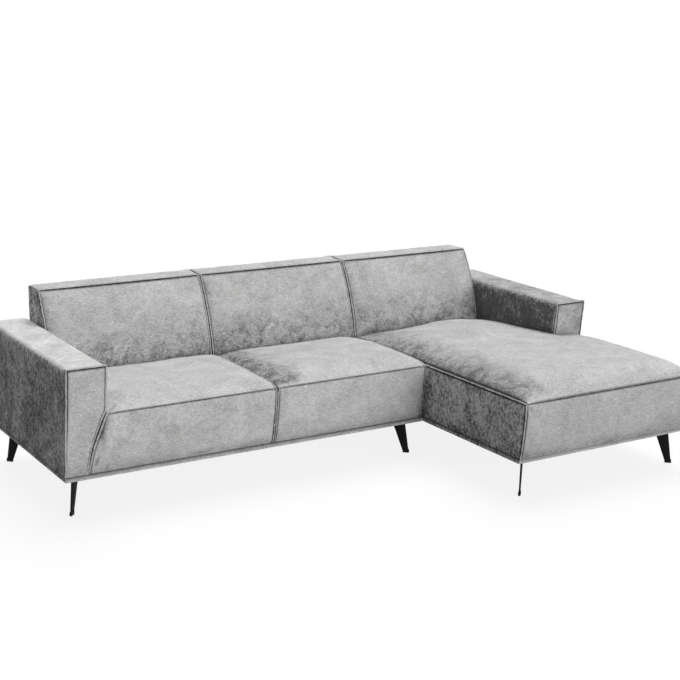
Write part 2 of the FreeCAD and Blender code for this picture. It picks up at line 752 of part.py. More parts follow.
def glide(x, y, angle):
    """A foot cap with a slot for the blade."""
    fit = s.glide_fit.value
    width, depth, height = s.glide_width.value, s.glide_thickness.value, s.glide_height.value
    cap = Part.makeBox(width, depth, height, Vector(-width / 2, -depth / 2, 0))
    upright = [e for e in cap.Edges if abs(e.tangentAt(0).z) > 1 - NEAR]
    cap = cap.makeFillet(s.glide_corner.value, upright)
    foot_half = s.leg_foot_width.value / 2
    blade_height = s.leg_height - s.leg_plate_thickness - s.glide_sole
    slope_out = (s.leg_splay / blade_height).value
    widening = -leg_waist_inner() - s.leg_foot_width / 2
    slope_in = (widening / (s.leg_waist_height - s.glide_sole)).value
    low, high = s.glide_sole.value, height + FAR
    half = s.leg_blade_thickness.value / 2 + fit
    corners = [
        Vector(-foot_half - fit, -half, low - fit),
        Vector(foot_half + fit, -half, low - fit),
        Vector(foot_half + fit - slope_out * (high - low), -half, high),
        Vector(-foot_half - fit - slope_in * (high - low), -half, high),
    ]
    slot = Part.Face(Part.makePolygon(corners + corners[:1])).extrude(Vector(0, 2 * half, 0))
    cap = cap.cut(slot)
    cap.Placement = Placement(Vector(x.value, y.value, 0), Rotation(Vector(0, 0, 1), angle))
    return cap


def legs(module, feet):
    """Legs, foot caps and leg screws of one module."""
    caps = []
    screws = []
    for corner, (x, y, angle) in feet.items():
        blade_leg(f"{module}_{corner}_leg", x, y, angle)
        caps.append(glide(x, y, angle))
        turn = Rotation(Vector(0, 0, 1), angle)
        for along, across in leg_screw_places():
            foot = Vector(x.value, y.value, (s.leg_height - s.leg_plate_thickness).value)
            head = foot + turn.multVec(Vector(along.value, across.value, 0))
            screws.append(screw(head, Vector(0, 0, 1)))
    form(f"{module}_leg_glides", Part.makeCompound(caps))
    return screws


def coupling_places():
    return [s.bracket_front, s.bracket_front + s.bracket_spacing]


def coupling_sockets():
    """Pockets open at the top, on the side rail of the two-seater, for the tongues."""
    t, fit = s.bracket_thickness.value, s.bracket_fit.value
    rail = two_seater_frame_right.value
    low = s.bracket_foot.value
    pocket_width = t + 2 * fit
    half_plate, inside = s.socket_width.value / 2, s.tongue_width.value / 2 + fit
    outside = inside + t
    plate_top, wall_top = low + s.socket_height.value, low + s.socket_depth.value
    front = rail + t + pocket_width
    sockets = []
    for place_y in coupling_places():
        y = place_y.value
        plate = slab((rail, y - half_plate, low), (rail + t, y + half_plate, plate_top))
        block = slab((rail + t, y - outside, low), (front + t, y + outside, wall_top))
        room = slab((rail + t, y - inside, low + t), (front, y + inside, wall_top + t))
        socket = plate.fuse(block).cut(room).removeSplitter()
        for hole in socket_screw_places(y):
            socket = socket.cut(screw_hole(hole, Vector(1, 0, 0)))
        sockets.append(socket)
    form("coupling_sockets", Part.makeCompound(sockets))


def socket_screw_places(y):
    """Middles of the screw holes on the rail, beside the pocket."""
    height = s.bracket_foot.value + s.socket_height.value / 2
    reach = s.socket_width.value / 2 - s.screw_head_diameter.value
    return [Vector(two_seater_frame_right.value, y + side * reach, height) for side in (-1, 1)]


def coupling_tongues():
    """Tongues on the side rail of the chaise that hang down into the sockets."""
    t, fit = s.bracket_thickness.value, s.bracket_fit.value
    rail = chaise_frame_left.value
    tongue_left = two_seater_frame_right.value + t + fit
    top = s.bracket_foot.value + t + fit + s.tongue_length.value
    half = s.tongue_width.value / 2
    plate_height = s.screw_head_diameter.value * 2
    tongues = []
    for place_y in coupling_places():
        y = place_y.value - half
        corners = [
            (tongue_left, top),
            (tongue_left, top - s.tongue_length.value),
            (tongue_left + t, top - s.tongue_length.value),
            (tongue_left + t, top - t),
            (rail - t, top - t),
            (rail, top - t),
            (rail, top + plate_height),
            (rail - t, top + plate_height),
            (rail - t, top),
        ]
        points = [Vector(x, y, z) for x, z in corners]
        tongue = Part.Face(Part.makePolygon(points + points[:1])).extrude(Vector(0, 2 * half, 0))
        for hole in tongue_screw_places(place_y.value):
            tongue = tongue.cut(screw_hole(hole, Vector(1, 0, 0)))
        tongues.append(tongue)
    form("coupling_tongues", Part.makeCompound(tongues))


def tongue_screw_places(y):
    """Middles of the screw holes on the chaise's rail, above the joggle."""
    t, fit = s.bracket_thickness.value, s.bracket_fit.value
    height = s.bracket_foot.value + t + fit + s.tongue_length.value + s.screw_head_diameter.value
    reach = s.tongue_width.value / 4
    return [Vector(chaise_frame_left.value, y + side * reach, height) for side in (-1, 1)]


# The two-seater


def two_seater():
    left, right = two_seater_frame_left, two_seater_frame_right
    joint = s.arm_width + s.seat_width
    half_rail = s.rail_thickness / 2
    cross_low = (joint - half_rail, frame_front + s.rail_thickness, frame_foot)
    cross_high = (joint + half_rail, frame_rear - s.rail_thickness, rail_top)
    base_frame("two_seater", left, right, frame_front, [(cross_low, cross_high)])

    per_seat = int(s.springs_per_seat.value)
    run = frame_rear.value - frame_front.value - s.rail_thickness.value
    start = frame_front.value + s.rail_thickness.value / 2
    places = []
    for i in range(2 * per_seat):
        x = s.arm_width.value + (i + 0.5) * s.seat_width.value / per_seat
        places.append((x, start, run))
    seat_springs("two_seater_seat_springs", places, 0)

    post = s.back_post_width
    back_left = s.arm_width + s.cover_thickness + s.soft_gap * 2
    back_right = right - s.cover_thickness
    back_frame("two_seater", back_left, back_right, [back_left, joint - post / 2, back_right - post])
    arm("left", ZERO, ZERO, 1)
    panel_foot = base_foot + s.band_height
    panel = [
        (ZERO, panel_foot),
        (s.arm_width - flare_at(panel_foot) - s.soft_gap, panel_foot),
        (s.arm_width - s.soft_gap, s.flare_height),
        (s.arm_width, s.arm_height),
        (ZERO, s.arm_height),
    ]
    front_panel("left", ZERO, ZERO, panel)

    gap = s.soft_gap / 2
    seat_left = s.arm_width + s.soft_gap
    frame_low = (left - s.soft_gap, frame_front - s.soft_gap, 0)
    frame_block = slab(frame_low, (right + s.soft_gap, seat_rear + FAR, deck_top))
    section = (s.seat_setback, base_front, seat_rear, s.seat_crown, s.seat_front_bulge, SEAT_RIM)
    seat_cushion("seat_1", (seat_left, joint - gap, *section), frame_block, apron=flare_apron())
    seat_cushion("seat_2", (joint + gap, seat_split - gap, *section), frame_block)

    sections = s.arm_width + s.back_section_width
    back_cushion("back_1", s.arm_width + s.soft_gap, sections - gap, open_right=True)
    back_cushion("back_2", sections + gap, s.module_split - gap, open_left=True)
    rear_low = (s.arm_width + s.soft_gap, back_rear - s.rear_cover_thickness, base_foot + s.band_height)
    rear_high = (s.module_split - gap, back_rear, s.back_height - s.cover_thickness)
    board("two_seater_rear_cover", rear_low, rear_high)

    band = s.band_thickness
    foot, top = base_foot, base_foot + s.band_height
    rear_line = s.body_depth
    strips = [
        ((ZERO, s.arm_front_lean - band, foot), (seat_split - s.soft_gap, s.arm_front_lean, top)),
        ((ZERO, s.arm_front_lean, foot), (band, rear_line, top)),
        ((band, rear_line - band, foot), (s.arm_width, rear_line, top)),
        ((s.arm_width, back_rear - band, foot), (s.module_split - gap, back_rear, top)),
    ]
    board_group("two_seater_base_band", strips)
    cloth_low = (band, s.arm_front_lean, base_foot)
    board("two_seater_dust_cover", cloth_low, (right, back_rear - band, frame_foot))

    front, rear = base_front + s.leg_front_inset, s.body_depth - s.leg_rear_inset
    outer, inner = s.leg_side_inset + ZERO, s.module_split - s.leg_split_inset
    feet = {
        "front_left": (outer, front, -135),
        "front_right": (inner, front, -45),
        "rear_left": (outer, rear, 135),
        "rear_right": (inner, rear, 45),
    }
    screws = legs("two_seater", feet)
    plate = Vector(s.bracket_thickness.value, 0, 0)
    for place_y in coupling_places():
        for hole in socket_screw_places(place_y.value):
            screws.append(screw(hole + plate, Vector(-1, 0, 0)))
    form("two_seater_screws", Part.makeCompound(screws))
    coupling_sockets()


def flare_at(z):
    """How far the seat front reaches under the left arm at a height below the flare."""
    return s.flare_reach * (s.flare_height - z) / (s.flare_height - base_foot)


def flare_apron():
    """The lower left corner of the seat front, which reaches under the left arm."""
    left = s.arm_width.value
    low = base_foot + s.band_height
    high = s.flare_height
    into_seat = left + s.panel_thickness.value
    outline = [
        (left - flare_at(low).value, low),
        (into_seat, low),
        (into_seat, high),
        (left, high),
    ]
    faces = []
    for depth in (0, (s.panel_thickness - s.soft_gap).value):
        points = [Vector(x, lean(z).value + depth, z.value) for x, z in outline]
        faces.append(Part.makePolygon(points + points[:1]))
    return Part.makeLoft(faces, True, True)


# The chaise


def chaise():
    left, right = chaise_frame_left, chaise_frame_right
    front = chaise_frame_front
    t = s.rail_thickness
    middle = (front + frame_front) / 2
    arm_rail = frame_front + s.right_arm_setback
    cross = [((left + t, y, frame_foot), (right - t, y + t, rail_top)) for y in (middle, arm_rail)]
    base_frame("chaise", left, right, front, cross)

    count = int(s.springs_per_bay.value)
    run = (right - left).value - t.value
    behind_post = (arm_rail + s.arm_post_depth).value
    places = []
    for first, last in ((front.value + t.value, arm_rail.value), (behind_post, back_face.value)):
        for i in range(count):
            y = first + (last - first) * (i + 0.5) / count
            places.append((right.value - t.value / 2, y, run))
    seat_springs("chaise_seat_springs", places, 90)

    post = s.back_post_width
    back_left = left + s.cover_thickness
    back_right = right_arm_left - s.cover_thickness - s.soft_gap * 2
    back_frame("chaise", back_left, back_right, [back_left, back_right - post])
    arm("right", right_arm_left, s.right_arm_setback, -1)
    width = s.arm_width
    panel = [(ZERO, s.board_foot), (width, s.board_foot), (width, s.arm_height), (ZERO, s.arm_height)]
    front_panel("right", right_arm_left, s.right_arm_setback, panel)

    gap = s.soft_gap / 2
    foot = chaise_front + s.chaise_front_lean
    frame_low = (left - s.soft_gap, front - s.soft_gap, 0)
    frame_block = slab(frame_low, (right + s.soft_gap, seat_rear + FAR, deck_top))
    neighbour_low = (seat_split - FAR, base_front - s.band_thickness - s.soft_gap, 0)
    neighbour = slab(neighbour_low, (left - s.soft_gap, seat_rear + FAR, deck_top))
    shape = (
        seat_split + gap,
        chaise_right,
        chaise_front,
        foot,
        seat_rear,
        s.chaise_crown,
        s.chaise_front_bulge,
        CHAISE_RIM,
    )
    seat_cushion("chaise_seat", shape, frame_block, cuts=(room_of_right_arm(), neighbour))
    back_cushion("chaise_back", s.module_split + gap, right_arm_left - s.soft_gap)
    rear_low = (s.module_split + gap, back_rear - s.rear_cover_thickness, base_foot + s.band_height)
    rear_high = (right_arm_left - s.soft_gap, back_rear, s.back_height - s.cover_thickness)
    board("chaise_rear_cover", rear_low, rear_high)

    band = s.band_thickness
    low, top = base_foot, base_foot + s.band_height
    strip_left = s.module_split - s.module_gap
    strips = [
        ((strip_left, foot, low), (s.overall_width, foot + band, top)),
        ((strip_left, foot + band, low), (strip_left + band, base_front - s.module_gap, top)),
        ((s.overall_width - band, foot + band, low), (s.overall_width, s.body_depth, top)),
        ((s.module_split + gap, back_rear - band, low), (s.overall_width - band, back_rear, top)),
    ]
    board_group("chaise_base_band", strips)
    board("chaise_dust_cover", (left, foot + band, base_foot), (right, back_rear - band, frame_foot))

    near, far = foot + s.leg_front_inset, s.body_depth - s.leg_rear_inset
    outer, inner_foot = s.overall_width - s.leg_side_inset, s.module_split + s.chaise_leg_split_inset
    feet = {
        "front_left": (inner_foot, near, -135),
        "front_right": (outer, near, -45),
        "rear_left": (inner_foot, far, 135),
        "rear_right": (outer, far, 45),
    }
    screws = legs("chaise", feet)
    plate = Vector(s.bracket_thickness.value, 0, 0)
    for place_y in coupling_places():
        for hole in tongue_screw_places(place_y.value):
            screws.append(screw(hole - plate, Vector(1, 0, 0)))
    form("chaise_screws", Part.makeCompound(screws))
    coupling_tongues()


def room_of_right_arm():
    """The room that the chaise's seat leaves for the right arm and its leaning front."""
    front = s.right_arm_setback - s.soft_gap
    behind_panel = front + s.panel_thickness
    step = s.board_foot - s.soft_gap
    far_rear = s.body_depth + FAR
    outline = [
        (behind_panel + lean(base_foot), base_foot),
        (far_rear, base_foot),
        (far_rear, s.back_height),
        (front + lean(s.back_height), s.back_height),
        (front + lean(step), step),
        (behind_panel + lean(step), step),
    ]
    left = (right_arm_left - s.soft_gap).value
    points = [Vector(left, y.value, z.value) for y, z in outline]
    reach = chaise_right.value + FAR - left
    return Part.Face(Part.makePolygon(points + points[:1])).extrude(Vector(reach, 0, 0))


def report_and_check():
    """Stop on a failed object or an unsound shape, and print the overall size."""
    for obj in doc.Objects:
        assert not {"Invalid", "Error"} & set(obj.State), f"{obj.Label}: {obj.State}"
    whole = FreeCAD.BoundBox()
    for label, obj in subparts.items():
        assert not obj.Shape.isNull() and obj.Shape.isValid(), f"{label} has no sound shape"
        assert obj.Shape.Volume > 0, f"{label} is empty"
        whole.add(obj.Shape.BoundBox)
    extents = (whole.XLength, whole.YLength, whole.ZLength)
    print(f"{len(subparts)} sub-parts, " + " x ".join(f"{extent:.1f}" for extent in extents) + " mm")


two_seater()
chaise()
doc.recompute()
report_and_check()
os.makedirs("parts", exist_ok=True)
for name, sub_part in subparts.items():
    sub_part.Shape.exportStep(f"parts/{name}.step")
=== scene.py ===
"""Looks of a corner sofa with a chaise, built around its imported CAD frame.

The makers' classes below hold lengths in millimetres, counted as on the workshop drawing:
X from the left arm's outer side, Y from the top front edge of the left arm, Z from the
floor. `to_frame` turns such a point into the frame's metres.
"""
import json
import logging
import math
from dataclasses import dataclass
from enum import Enum
from typing import Any, Callable, Sequence

import bmesh
import bpy
from mathutils import Matrix, Vector, noise


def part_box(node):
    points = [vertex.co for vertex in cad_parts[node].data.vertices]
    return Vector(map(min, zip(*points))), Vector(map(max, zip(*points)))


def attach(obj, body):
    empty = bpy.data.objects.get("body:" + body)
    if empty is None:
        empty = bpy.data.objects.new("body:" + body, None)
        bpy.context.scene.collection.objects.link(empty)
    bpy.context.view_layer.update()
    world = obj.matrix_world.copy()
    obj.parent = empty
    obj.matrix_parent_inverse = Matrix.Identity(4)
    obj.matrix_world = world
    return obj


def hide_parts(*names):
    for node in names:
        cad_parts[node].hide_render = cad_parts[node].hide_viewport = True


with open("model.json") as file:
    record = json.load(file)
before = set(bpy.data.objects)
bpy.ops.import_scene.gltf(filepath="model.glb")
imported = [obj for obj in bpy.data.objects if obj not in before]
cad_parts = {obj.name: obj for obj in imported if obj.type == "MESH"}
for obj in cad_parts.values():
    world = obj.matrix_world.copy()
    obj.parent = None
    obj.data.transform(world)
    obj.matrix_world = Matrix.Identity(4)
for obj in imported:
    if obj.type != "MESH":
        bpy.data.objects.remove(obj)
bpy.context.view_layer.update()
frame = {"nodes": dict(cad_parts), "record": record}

log = logging.getLogger("sofa")
logging.basicConfig(level=logging.INFO, format="%(name)s: %(message)s")

Span = tuple[float, float]
Triple = tuple[float, float, float]
Colour = tuple[float, float, float, float]

MM = 0.001
CORNER = Vector((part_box("left_arm_cover")[0].x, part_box("left_arm_front_panel")[0].y, 0.0))


class Body(str, Enum):
    """The two modules that the frame moves."""

    TWO_SEATER = "two_seater"
    CHAISE = "chaise"


class Slot(str, Enum):
    """Material slots of the record that new pieces take their finish from."""

    COVER = "cover_fabric"
    LEG = "leg_steel"
    GLIDE = "glide_plastic"
    CLOTH = "dust_cloth"


class Rim(Enum):
    """Edges of a soft block: two faces, each an axis and the end of it that the face is on."""

    TOP_FRONT = ((1, 0), (2, 1))
    TOP_REAR = ((1, 1), (2, 1))
    TOP_LEFT = ((0, 0), (2, 1))
    TOP_RIGHT = ((0, 1), (2, 1))
    FOOT_FRONT = ((1, 0), (2, 0))
    FOOT_LEFT = ((0, 0), (2, 0))
    FOOT_RIGHT = ((0, 1), (2, 0))
    FOOT_REAR = ((1, 1), (2, 0))
    FRONT_LEFT = ((0, 0), (1, 0))
    FRONT_RIGHT = ((0, 1), (1, 0))
    REAR_LEFT = ((0, 0), (1, 1))
    REAR_RIGHT = ((0, 1), (1, 1))


class Side(Enum):
    """Faces of a soft block: an axis and the end of it."""

    LEFT = (0, 0)
    RIGHT = (0, 1)
    FRONT = (1, 0)
    REAR = (1, 1)
    FOOT = (2, 0)
    TOP = (2, 1)


# Small sums


def to_frame(x: float, y: float, z: float) -> Vector:
    """Turn a place on the workshop drawing into the frame's metres.

    Args:
        x: millimetres from the left arm's outer side.
        y: millimetres behind the left arm's top front edge.
        z: millimetres above the floor.

    Returns:
        The same place in the frame.
    """
    return CORNER + Vector((x, y, z)) * MM


def lerp(start: float, end: float, share: float) -> float:
    """Return the value at a share of the way from start to end."""
    return start + (end - start) * share


def ease(share: float) -> float:
    """Return a share that starts and ends gently, kept from 0 to 1."""
    share = min(1.0, max(0.0, share))
    return share * share * (3 - 2 * share)


def rise_over(x: float, start: float, length: float) -> float:
    """Return 0 up to a start, and from there a gentle rise to 1 over a length."""
    return ease((x - start) / length)


def fade_over(x: float, length: float) -> float:
    """Return 1 at 0, falling gently to 0 over a length."""
    return ease(1 - x / length)


def bow(share: float) -> float:
    """Return an arch that is 0 at both ends and 1 in the middle."""
    return 4 * share * (1 - share)


def ripple(place: Vector, scale: float, seed: float = 0.0) -> float:
    """Return smooth noise from -1 to 1.

    Args:
        place: a point in metres.
        scale: waves to a metre.
        seed: shifts the noise, so that pieces differ.

    Returns:
        The noise at the point.
    """
    return noise.noise(place * scale + Vector((seed, seed * 0.37, -seed)))


@dataclass(frozen=True)
class Profile:
    """A smooth curve through points, without overshoot between them."""

    points: tuple[tuple[float, float], ...]

    def at(self, x: float) -> float:
        """Return the curve's value at x; beyond its ends it keeps the last value."""
        points = self.points
        if x <= points[0][0]:
            return points[0][1]
        if x >= points[-1][0]:
            return points[-1][1]
        i = next(i for i in range(len(points) - 1) if x < points[i + 1][0])
        (x0, y0), (x1, y1) = points[i], points[i + 1]
        step = x1 - x0
        t = (x - x0) / step
        before, after = self._slope(i), self._slope(i + 1)
        return (
            y0 * (2 * t**3 - 3 * t**2 + 1)
            + before * step * (t**3 - 2 * t**2 + t)
            + y1 * (3 * t**2 - 2 * t**3)
            + after * step * (t**3 - t**2)
        )

    def _slope(self, i: int) -> float:
        """Return the tangent at a point, flat where the curve turns."""
        points = self.points
        if i in (0, len(points) - 1):
            a, b = (0, 1) if i == 0 else (-2, -1)
            return (points[b][1] - points[a][1]) / (points[b][0] - points[a][0])
        left = (points[i][1] - points[i - 1][1]) / (points[i][0] - points[i - 1][0])
        right = (points[i + 1][1] - points[i][1]) / (points[i + 1][0] - points[i][0])
        if left * right <= 0:
            return 0.0
        return 2 * left * right / (left + right)


def graded(length: float, coarse: float, fixed: Sequence[float] = ()) -> list[float]:
    """Places of grid lines along a length, closer together near both ends.

    Args:
        length: millimetres.
        coarse: greatest distance between lines.
        fixed: places that get a line of their own.

    Returns:
        Shares of the length from 0 to 1.
    """
    near, step = [0.0], 3.0
    while near[-1] + step < min(40.0, length * 0.3):
        near.append(near[-1] + step)
        step *= 1.55
    middle = length - 2 * near[-1]
    count = max(1, math.ceil(middle / coarse))
    inner = [near[-1] + middle * i / count for i in range(1, count)]
    places = near + inner + [length - x for x in reversed(near)]
    for place in fixed:
        places = [x for x in places if abs(x - place) > 0.5 or x in (0.0, length)] + [place]
    return [x / length for x in sorted(set(places))]


def around(step: float, gap: float = 0.5) -> Span:
    """Return places for grid lines close before and behind a step."""
    return step - gap, step + gap


# Work at the bench


def deselect() -> None:
    """Leave edit mode and select nothing."""
    if bpy.context.object and bpy.context.object.mode != "OBJECT":
        bpy.ops.object.mode_set(mode="OBJECT")
    bpy.ops.object.select_all(action="DESELECT")


def activate(piece: bpy.types.Object) -> None:
    """Make a piece the only selected one."""
    deselect()
    piece.select_set(True)
    bpy.context.view_layer.objects.active = piece


def edit(piece: bpy.types.Object, mode: str, test: Callable[[Any], bool]) -> None:
    """Open a piece in edit mode with some of its elements selected.

    Args:
        piece: the mesh object.
        mode: VERT, EDGE or FACE.
        test: says of a bmesh element whether it is selected.
    """
    activate(piece)
    bpy.ops.object.mode_set(mode="EDIT")
    bpy.ops.mesh.select_mode(type=mode)
    bpy.ops.mesh.select_all(action="DESELECT")
    work = bmesh.from_edit_mesh(piece.data)
    elements = {"VERT": work.verts, "EDGE": work.edges, "FACE": work.faces}[mode]
    for element in elements:
        if test(element):
            element.select_set(True)
    bmesh.update_edit_mesh(piece.data)


def close_edit() -> None:
    """Leave edit mode."""
    bpy.ops.object.mode_set(mode="OBJECT")


def finish_with(piece: bpy.types.Object, kind: str, **settings: Any) -> None:
    """Add a modifier to a piece and apply it.

    Args:
        piece: the mesh object.
        kind: the modifier's type.
        settings: its values by name.
    """
    activate(piece)
    modifier = piece.modifiers.new(kind.lower(), kind)
    for name, value in settings.items():
        setattr(modifier, name, value)
    bpy.ops.object.modifier_apply(modifier=modifier.name)


def subdivide_surface(piece: bpy.types.Object) -> None:
    """Smooth a piece by one level of subdivision."""
    finish_with(piece, "SUBSURF", levels=1, render_levels=1)


def join(pieces: Sequence[bpy.types.Object], name: str) -> bpy.types.Object:
    """Join pieces into the first of them and name it."""
    activate(pieces[0])
    for piece in pieces[1:]:
        piece.select_set(True)
    if len(pieces) > 1:
        bpy.ops.object.join()
    pieces[0].name = pieces[0].data.name = name
    return pieces[0]


def mark_left_facing(piece: bpy.types.Object) -> None:
    """Note on a piece's points how squarely they face left, the side that the lamps leave in shade,
    where the fabric gets painted glints and deeper painted shade.
    """
    mark = piece.data.attributes.new("side", "FLOAT", "POINT")
    for vertex in piece.data.vertices:
        mark.data[vertex.index].value = ease((-vertex.normal.x - 0.5) / 0.35)


# Finishes


class Wire:
    """A shader socket whose operators add Math nodes."""

    def __init__(self, paint: "Paint", socket: bpy.types.NodeSocket) -> None:
        """Wrap an output socket of a material."""
        self.paint = paint
        self.socket = socket

    def _math(self, operation: str, first: Any, second: Any, clamp: bool = False) -> "Wire":
        """Return the result of a Math node on two values or wires."""
        settings = {"operation": operation, "use_clamp": clamp}
        made = self.paint.node("ShaderNodeMath", settings, {0: first, 1: second})
        return Wire(self.paint, made.outputs[0])

    def __add__(self, other: Any) -> "Wire":
        """Return the sum."""
        return self._math("ADD", self, other)

    def __radd__(self, other: Any) -> "Wire":
        """Return the sum."""
        return self._math("ADD", other, self)

    def __sub__(self, other: Any) -> "Wire":
        """Return the difference."""
        return self._math("SUBTRACT", self, other)

    def __rsub__(self, other: Any) -> "Wire":
        """Return the difference from a number."""
        return self._math("SUBTRACT", other, self)

    def __mul__(self, other: Any) -> "Wire":
        """Return the product."""
        return self._math("MULTIPLY", self, other)

    def __rmul__(self, other: Any) -> "Wire":
        """Return the product."""
        return self._math("MULTIPLY", other, self)

    def clamped(self) -> "Wire":
        """Return the value kept from 0 to 1."""
        return self._math("ADD", self, 0.0, clamp=True)


class Paint:
    """One material under construction: its nodes and its shader."""

    def __init__(
        self, name: str, tree: bpy.types.NodeTree | None = None, **constants: float
    ) -> None:
        """Start a material with a Principled shader, or only take over a tree.

        Args:
            name: the material's name.
            tree: a world's nodes, where it isn't a material.
            constants: values of the shader's sockets, with _ for a space.
        """
        if tree is not None:
            self.tree = tree
            self.tree.nodes.clear()
            return
        self.material = bpy.data.materials.new(name)
        self.material.use_nodes = True
        self.tree = self.material.node_tree
        self.tree.nodes.clear()
        values = {key.replace("_", " "): value for key, value in constants.items()}
        self.shader = self.node("ShaderNodeBsdfPrincipled", {}, values)
        self.output = self.node("ShaderNodeOutputMaterial", {}, {})
        self.finish(Wire(self, self.shader.outputs[0]))

    def finish(self, surface: Wire) -> None:
        """Link a shader to the material's surface."""
        self.tree.links.new(surface.socket, self.output.inputs[0])

    def node(self, kind: str, settings: dict, sockets: dict) -> bpy.types.Node:
        """Add a node.

        Args:
            kind: the node's type.
            settings: its properties, set first; stops are those of its colour ramp.
            sockets: values or wires of its inputs, by name or number.

        Returns:
            The node.
        """
        made = self.tree.nodes.new(kind)
        for key, value in settings.items():
            if key == "stops":
                self._set_stops(made.color_ramp, value)
            else:
                setattr(made, key, value)
        for key, value in sockets.items():
            if isinstance(value, Wire):
                self.tree.links.new(value.socket, made.inputs[key])
            else:
                made.inputs[key].default_value = value
        return made

    @staticmethod
    def _set_stops(ramp: bpy.types.ColorRamp, stops: Sequence[tuple]) -> None:
        """Put a ramp's stops in place: each is a position and a colour."""
        while len(ramp.elements) < len(stops):
            ramp.elements.new(0.5)
        for element, (position, colour) in zip(ramp.elements, stops):
            element.position = position
            element.color = (*colour, 1.0)

    def wire(self, kind: str, settings: dict, sockets: dict, output: Any = 0) -> Wire:
        """Add a node and return one of its outputs."""
        return Wire(self, self.node(kind, settings, sockets).outputs[output])

    def place(self) -> Wire:
        """Return the object's coordinates."""
        return self.wire("ShaderNodeTexCoord", {}, {}, "Object")

    def mark(self, name: str) -> Wire:
        """Return a number that the piece's points carry."""
        return self.wire("ShaderNodeAttribute", {"attribute_name": name}, {}, "Fac")

    def scaled(self, vector: Wire, scale: Triple, turn: Triple = (0, 0, 0)) -> Wire:
        """Return coordinates turned and scaled about the origin."""
        sockets = {"Vector": vector, "Rotation": turn, "Scale": scale}
        return self.wire("ShaderNodeMapping", {}, sockets)

    def noise(self, vector: Wire, scale: float, detail: float = 2.0, bend: float = 0.0) -> Wire:
        """Return a noise pattern's value.

        Args:
            vector: where it is read.
            scale: how fine it is.
            detail: how many finer layers it has.
            bend: how much it is distorted.

        Returns:
            A value about 0.5.
        """
        sockets = {"Vector": vector, "Scale": scale, "Detail": detail, "Distortion": bend}
        return self.wire("ShaderNodeTexNoise", {}, sockets, 0)

    def mix(self, share: Any, first: Any, second: Any) -> Wire:
        """Return a colour between two, by a share."""
        settings = {"data_type": "RGBA", "clamp_factor": True}
        sockets = {0: share, 6: first, 7: second}
        return self.wire("ShaderNodeMix", settings, sockets, 2)

    def blend(self, share: Any, first: Any, second: Any) -> Wire:
        """Return a number between two, by a share."""
        return self.wire("ShaderNodeMix", {}, {0: share, 2: first, 3: second}, 0)

    def ramp(self, value: Wire, low: float, high: float) -> Wire:
        """Return 0 under low and 1 over high, with a gentle step between."""
        settings = {"interpolation_type": "SMOOTHSTEP"}
        return self.wire("ShaderNodeMapRange", settings, {0: value, 1: low, 2: high})

    def use(self, socket: str, value: Wire) -> None:
        """Link a wire to a socket of the shader."""
        self.tree.links.new(value.socket, self.shader.inputs[socket])

    def bump(self, height: Wire, distance: float, strength: float) -> None:
        """Raise the surface by a height pattern, in metres."""
        sockets = {"Height": height, "Distance": distance, "Strength": strength}
        self.use("Normal", self.wire("ShaderNodeBump", {}, sockets, "Normal"))


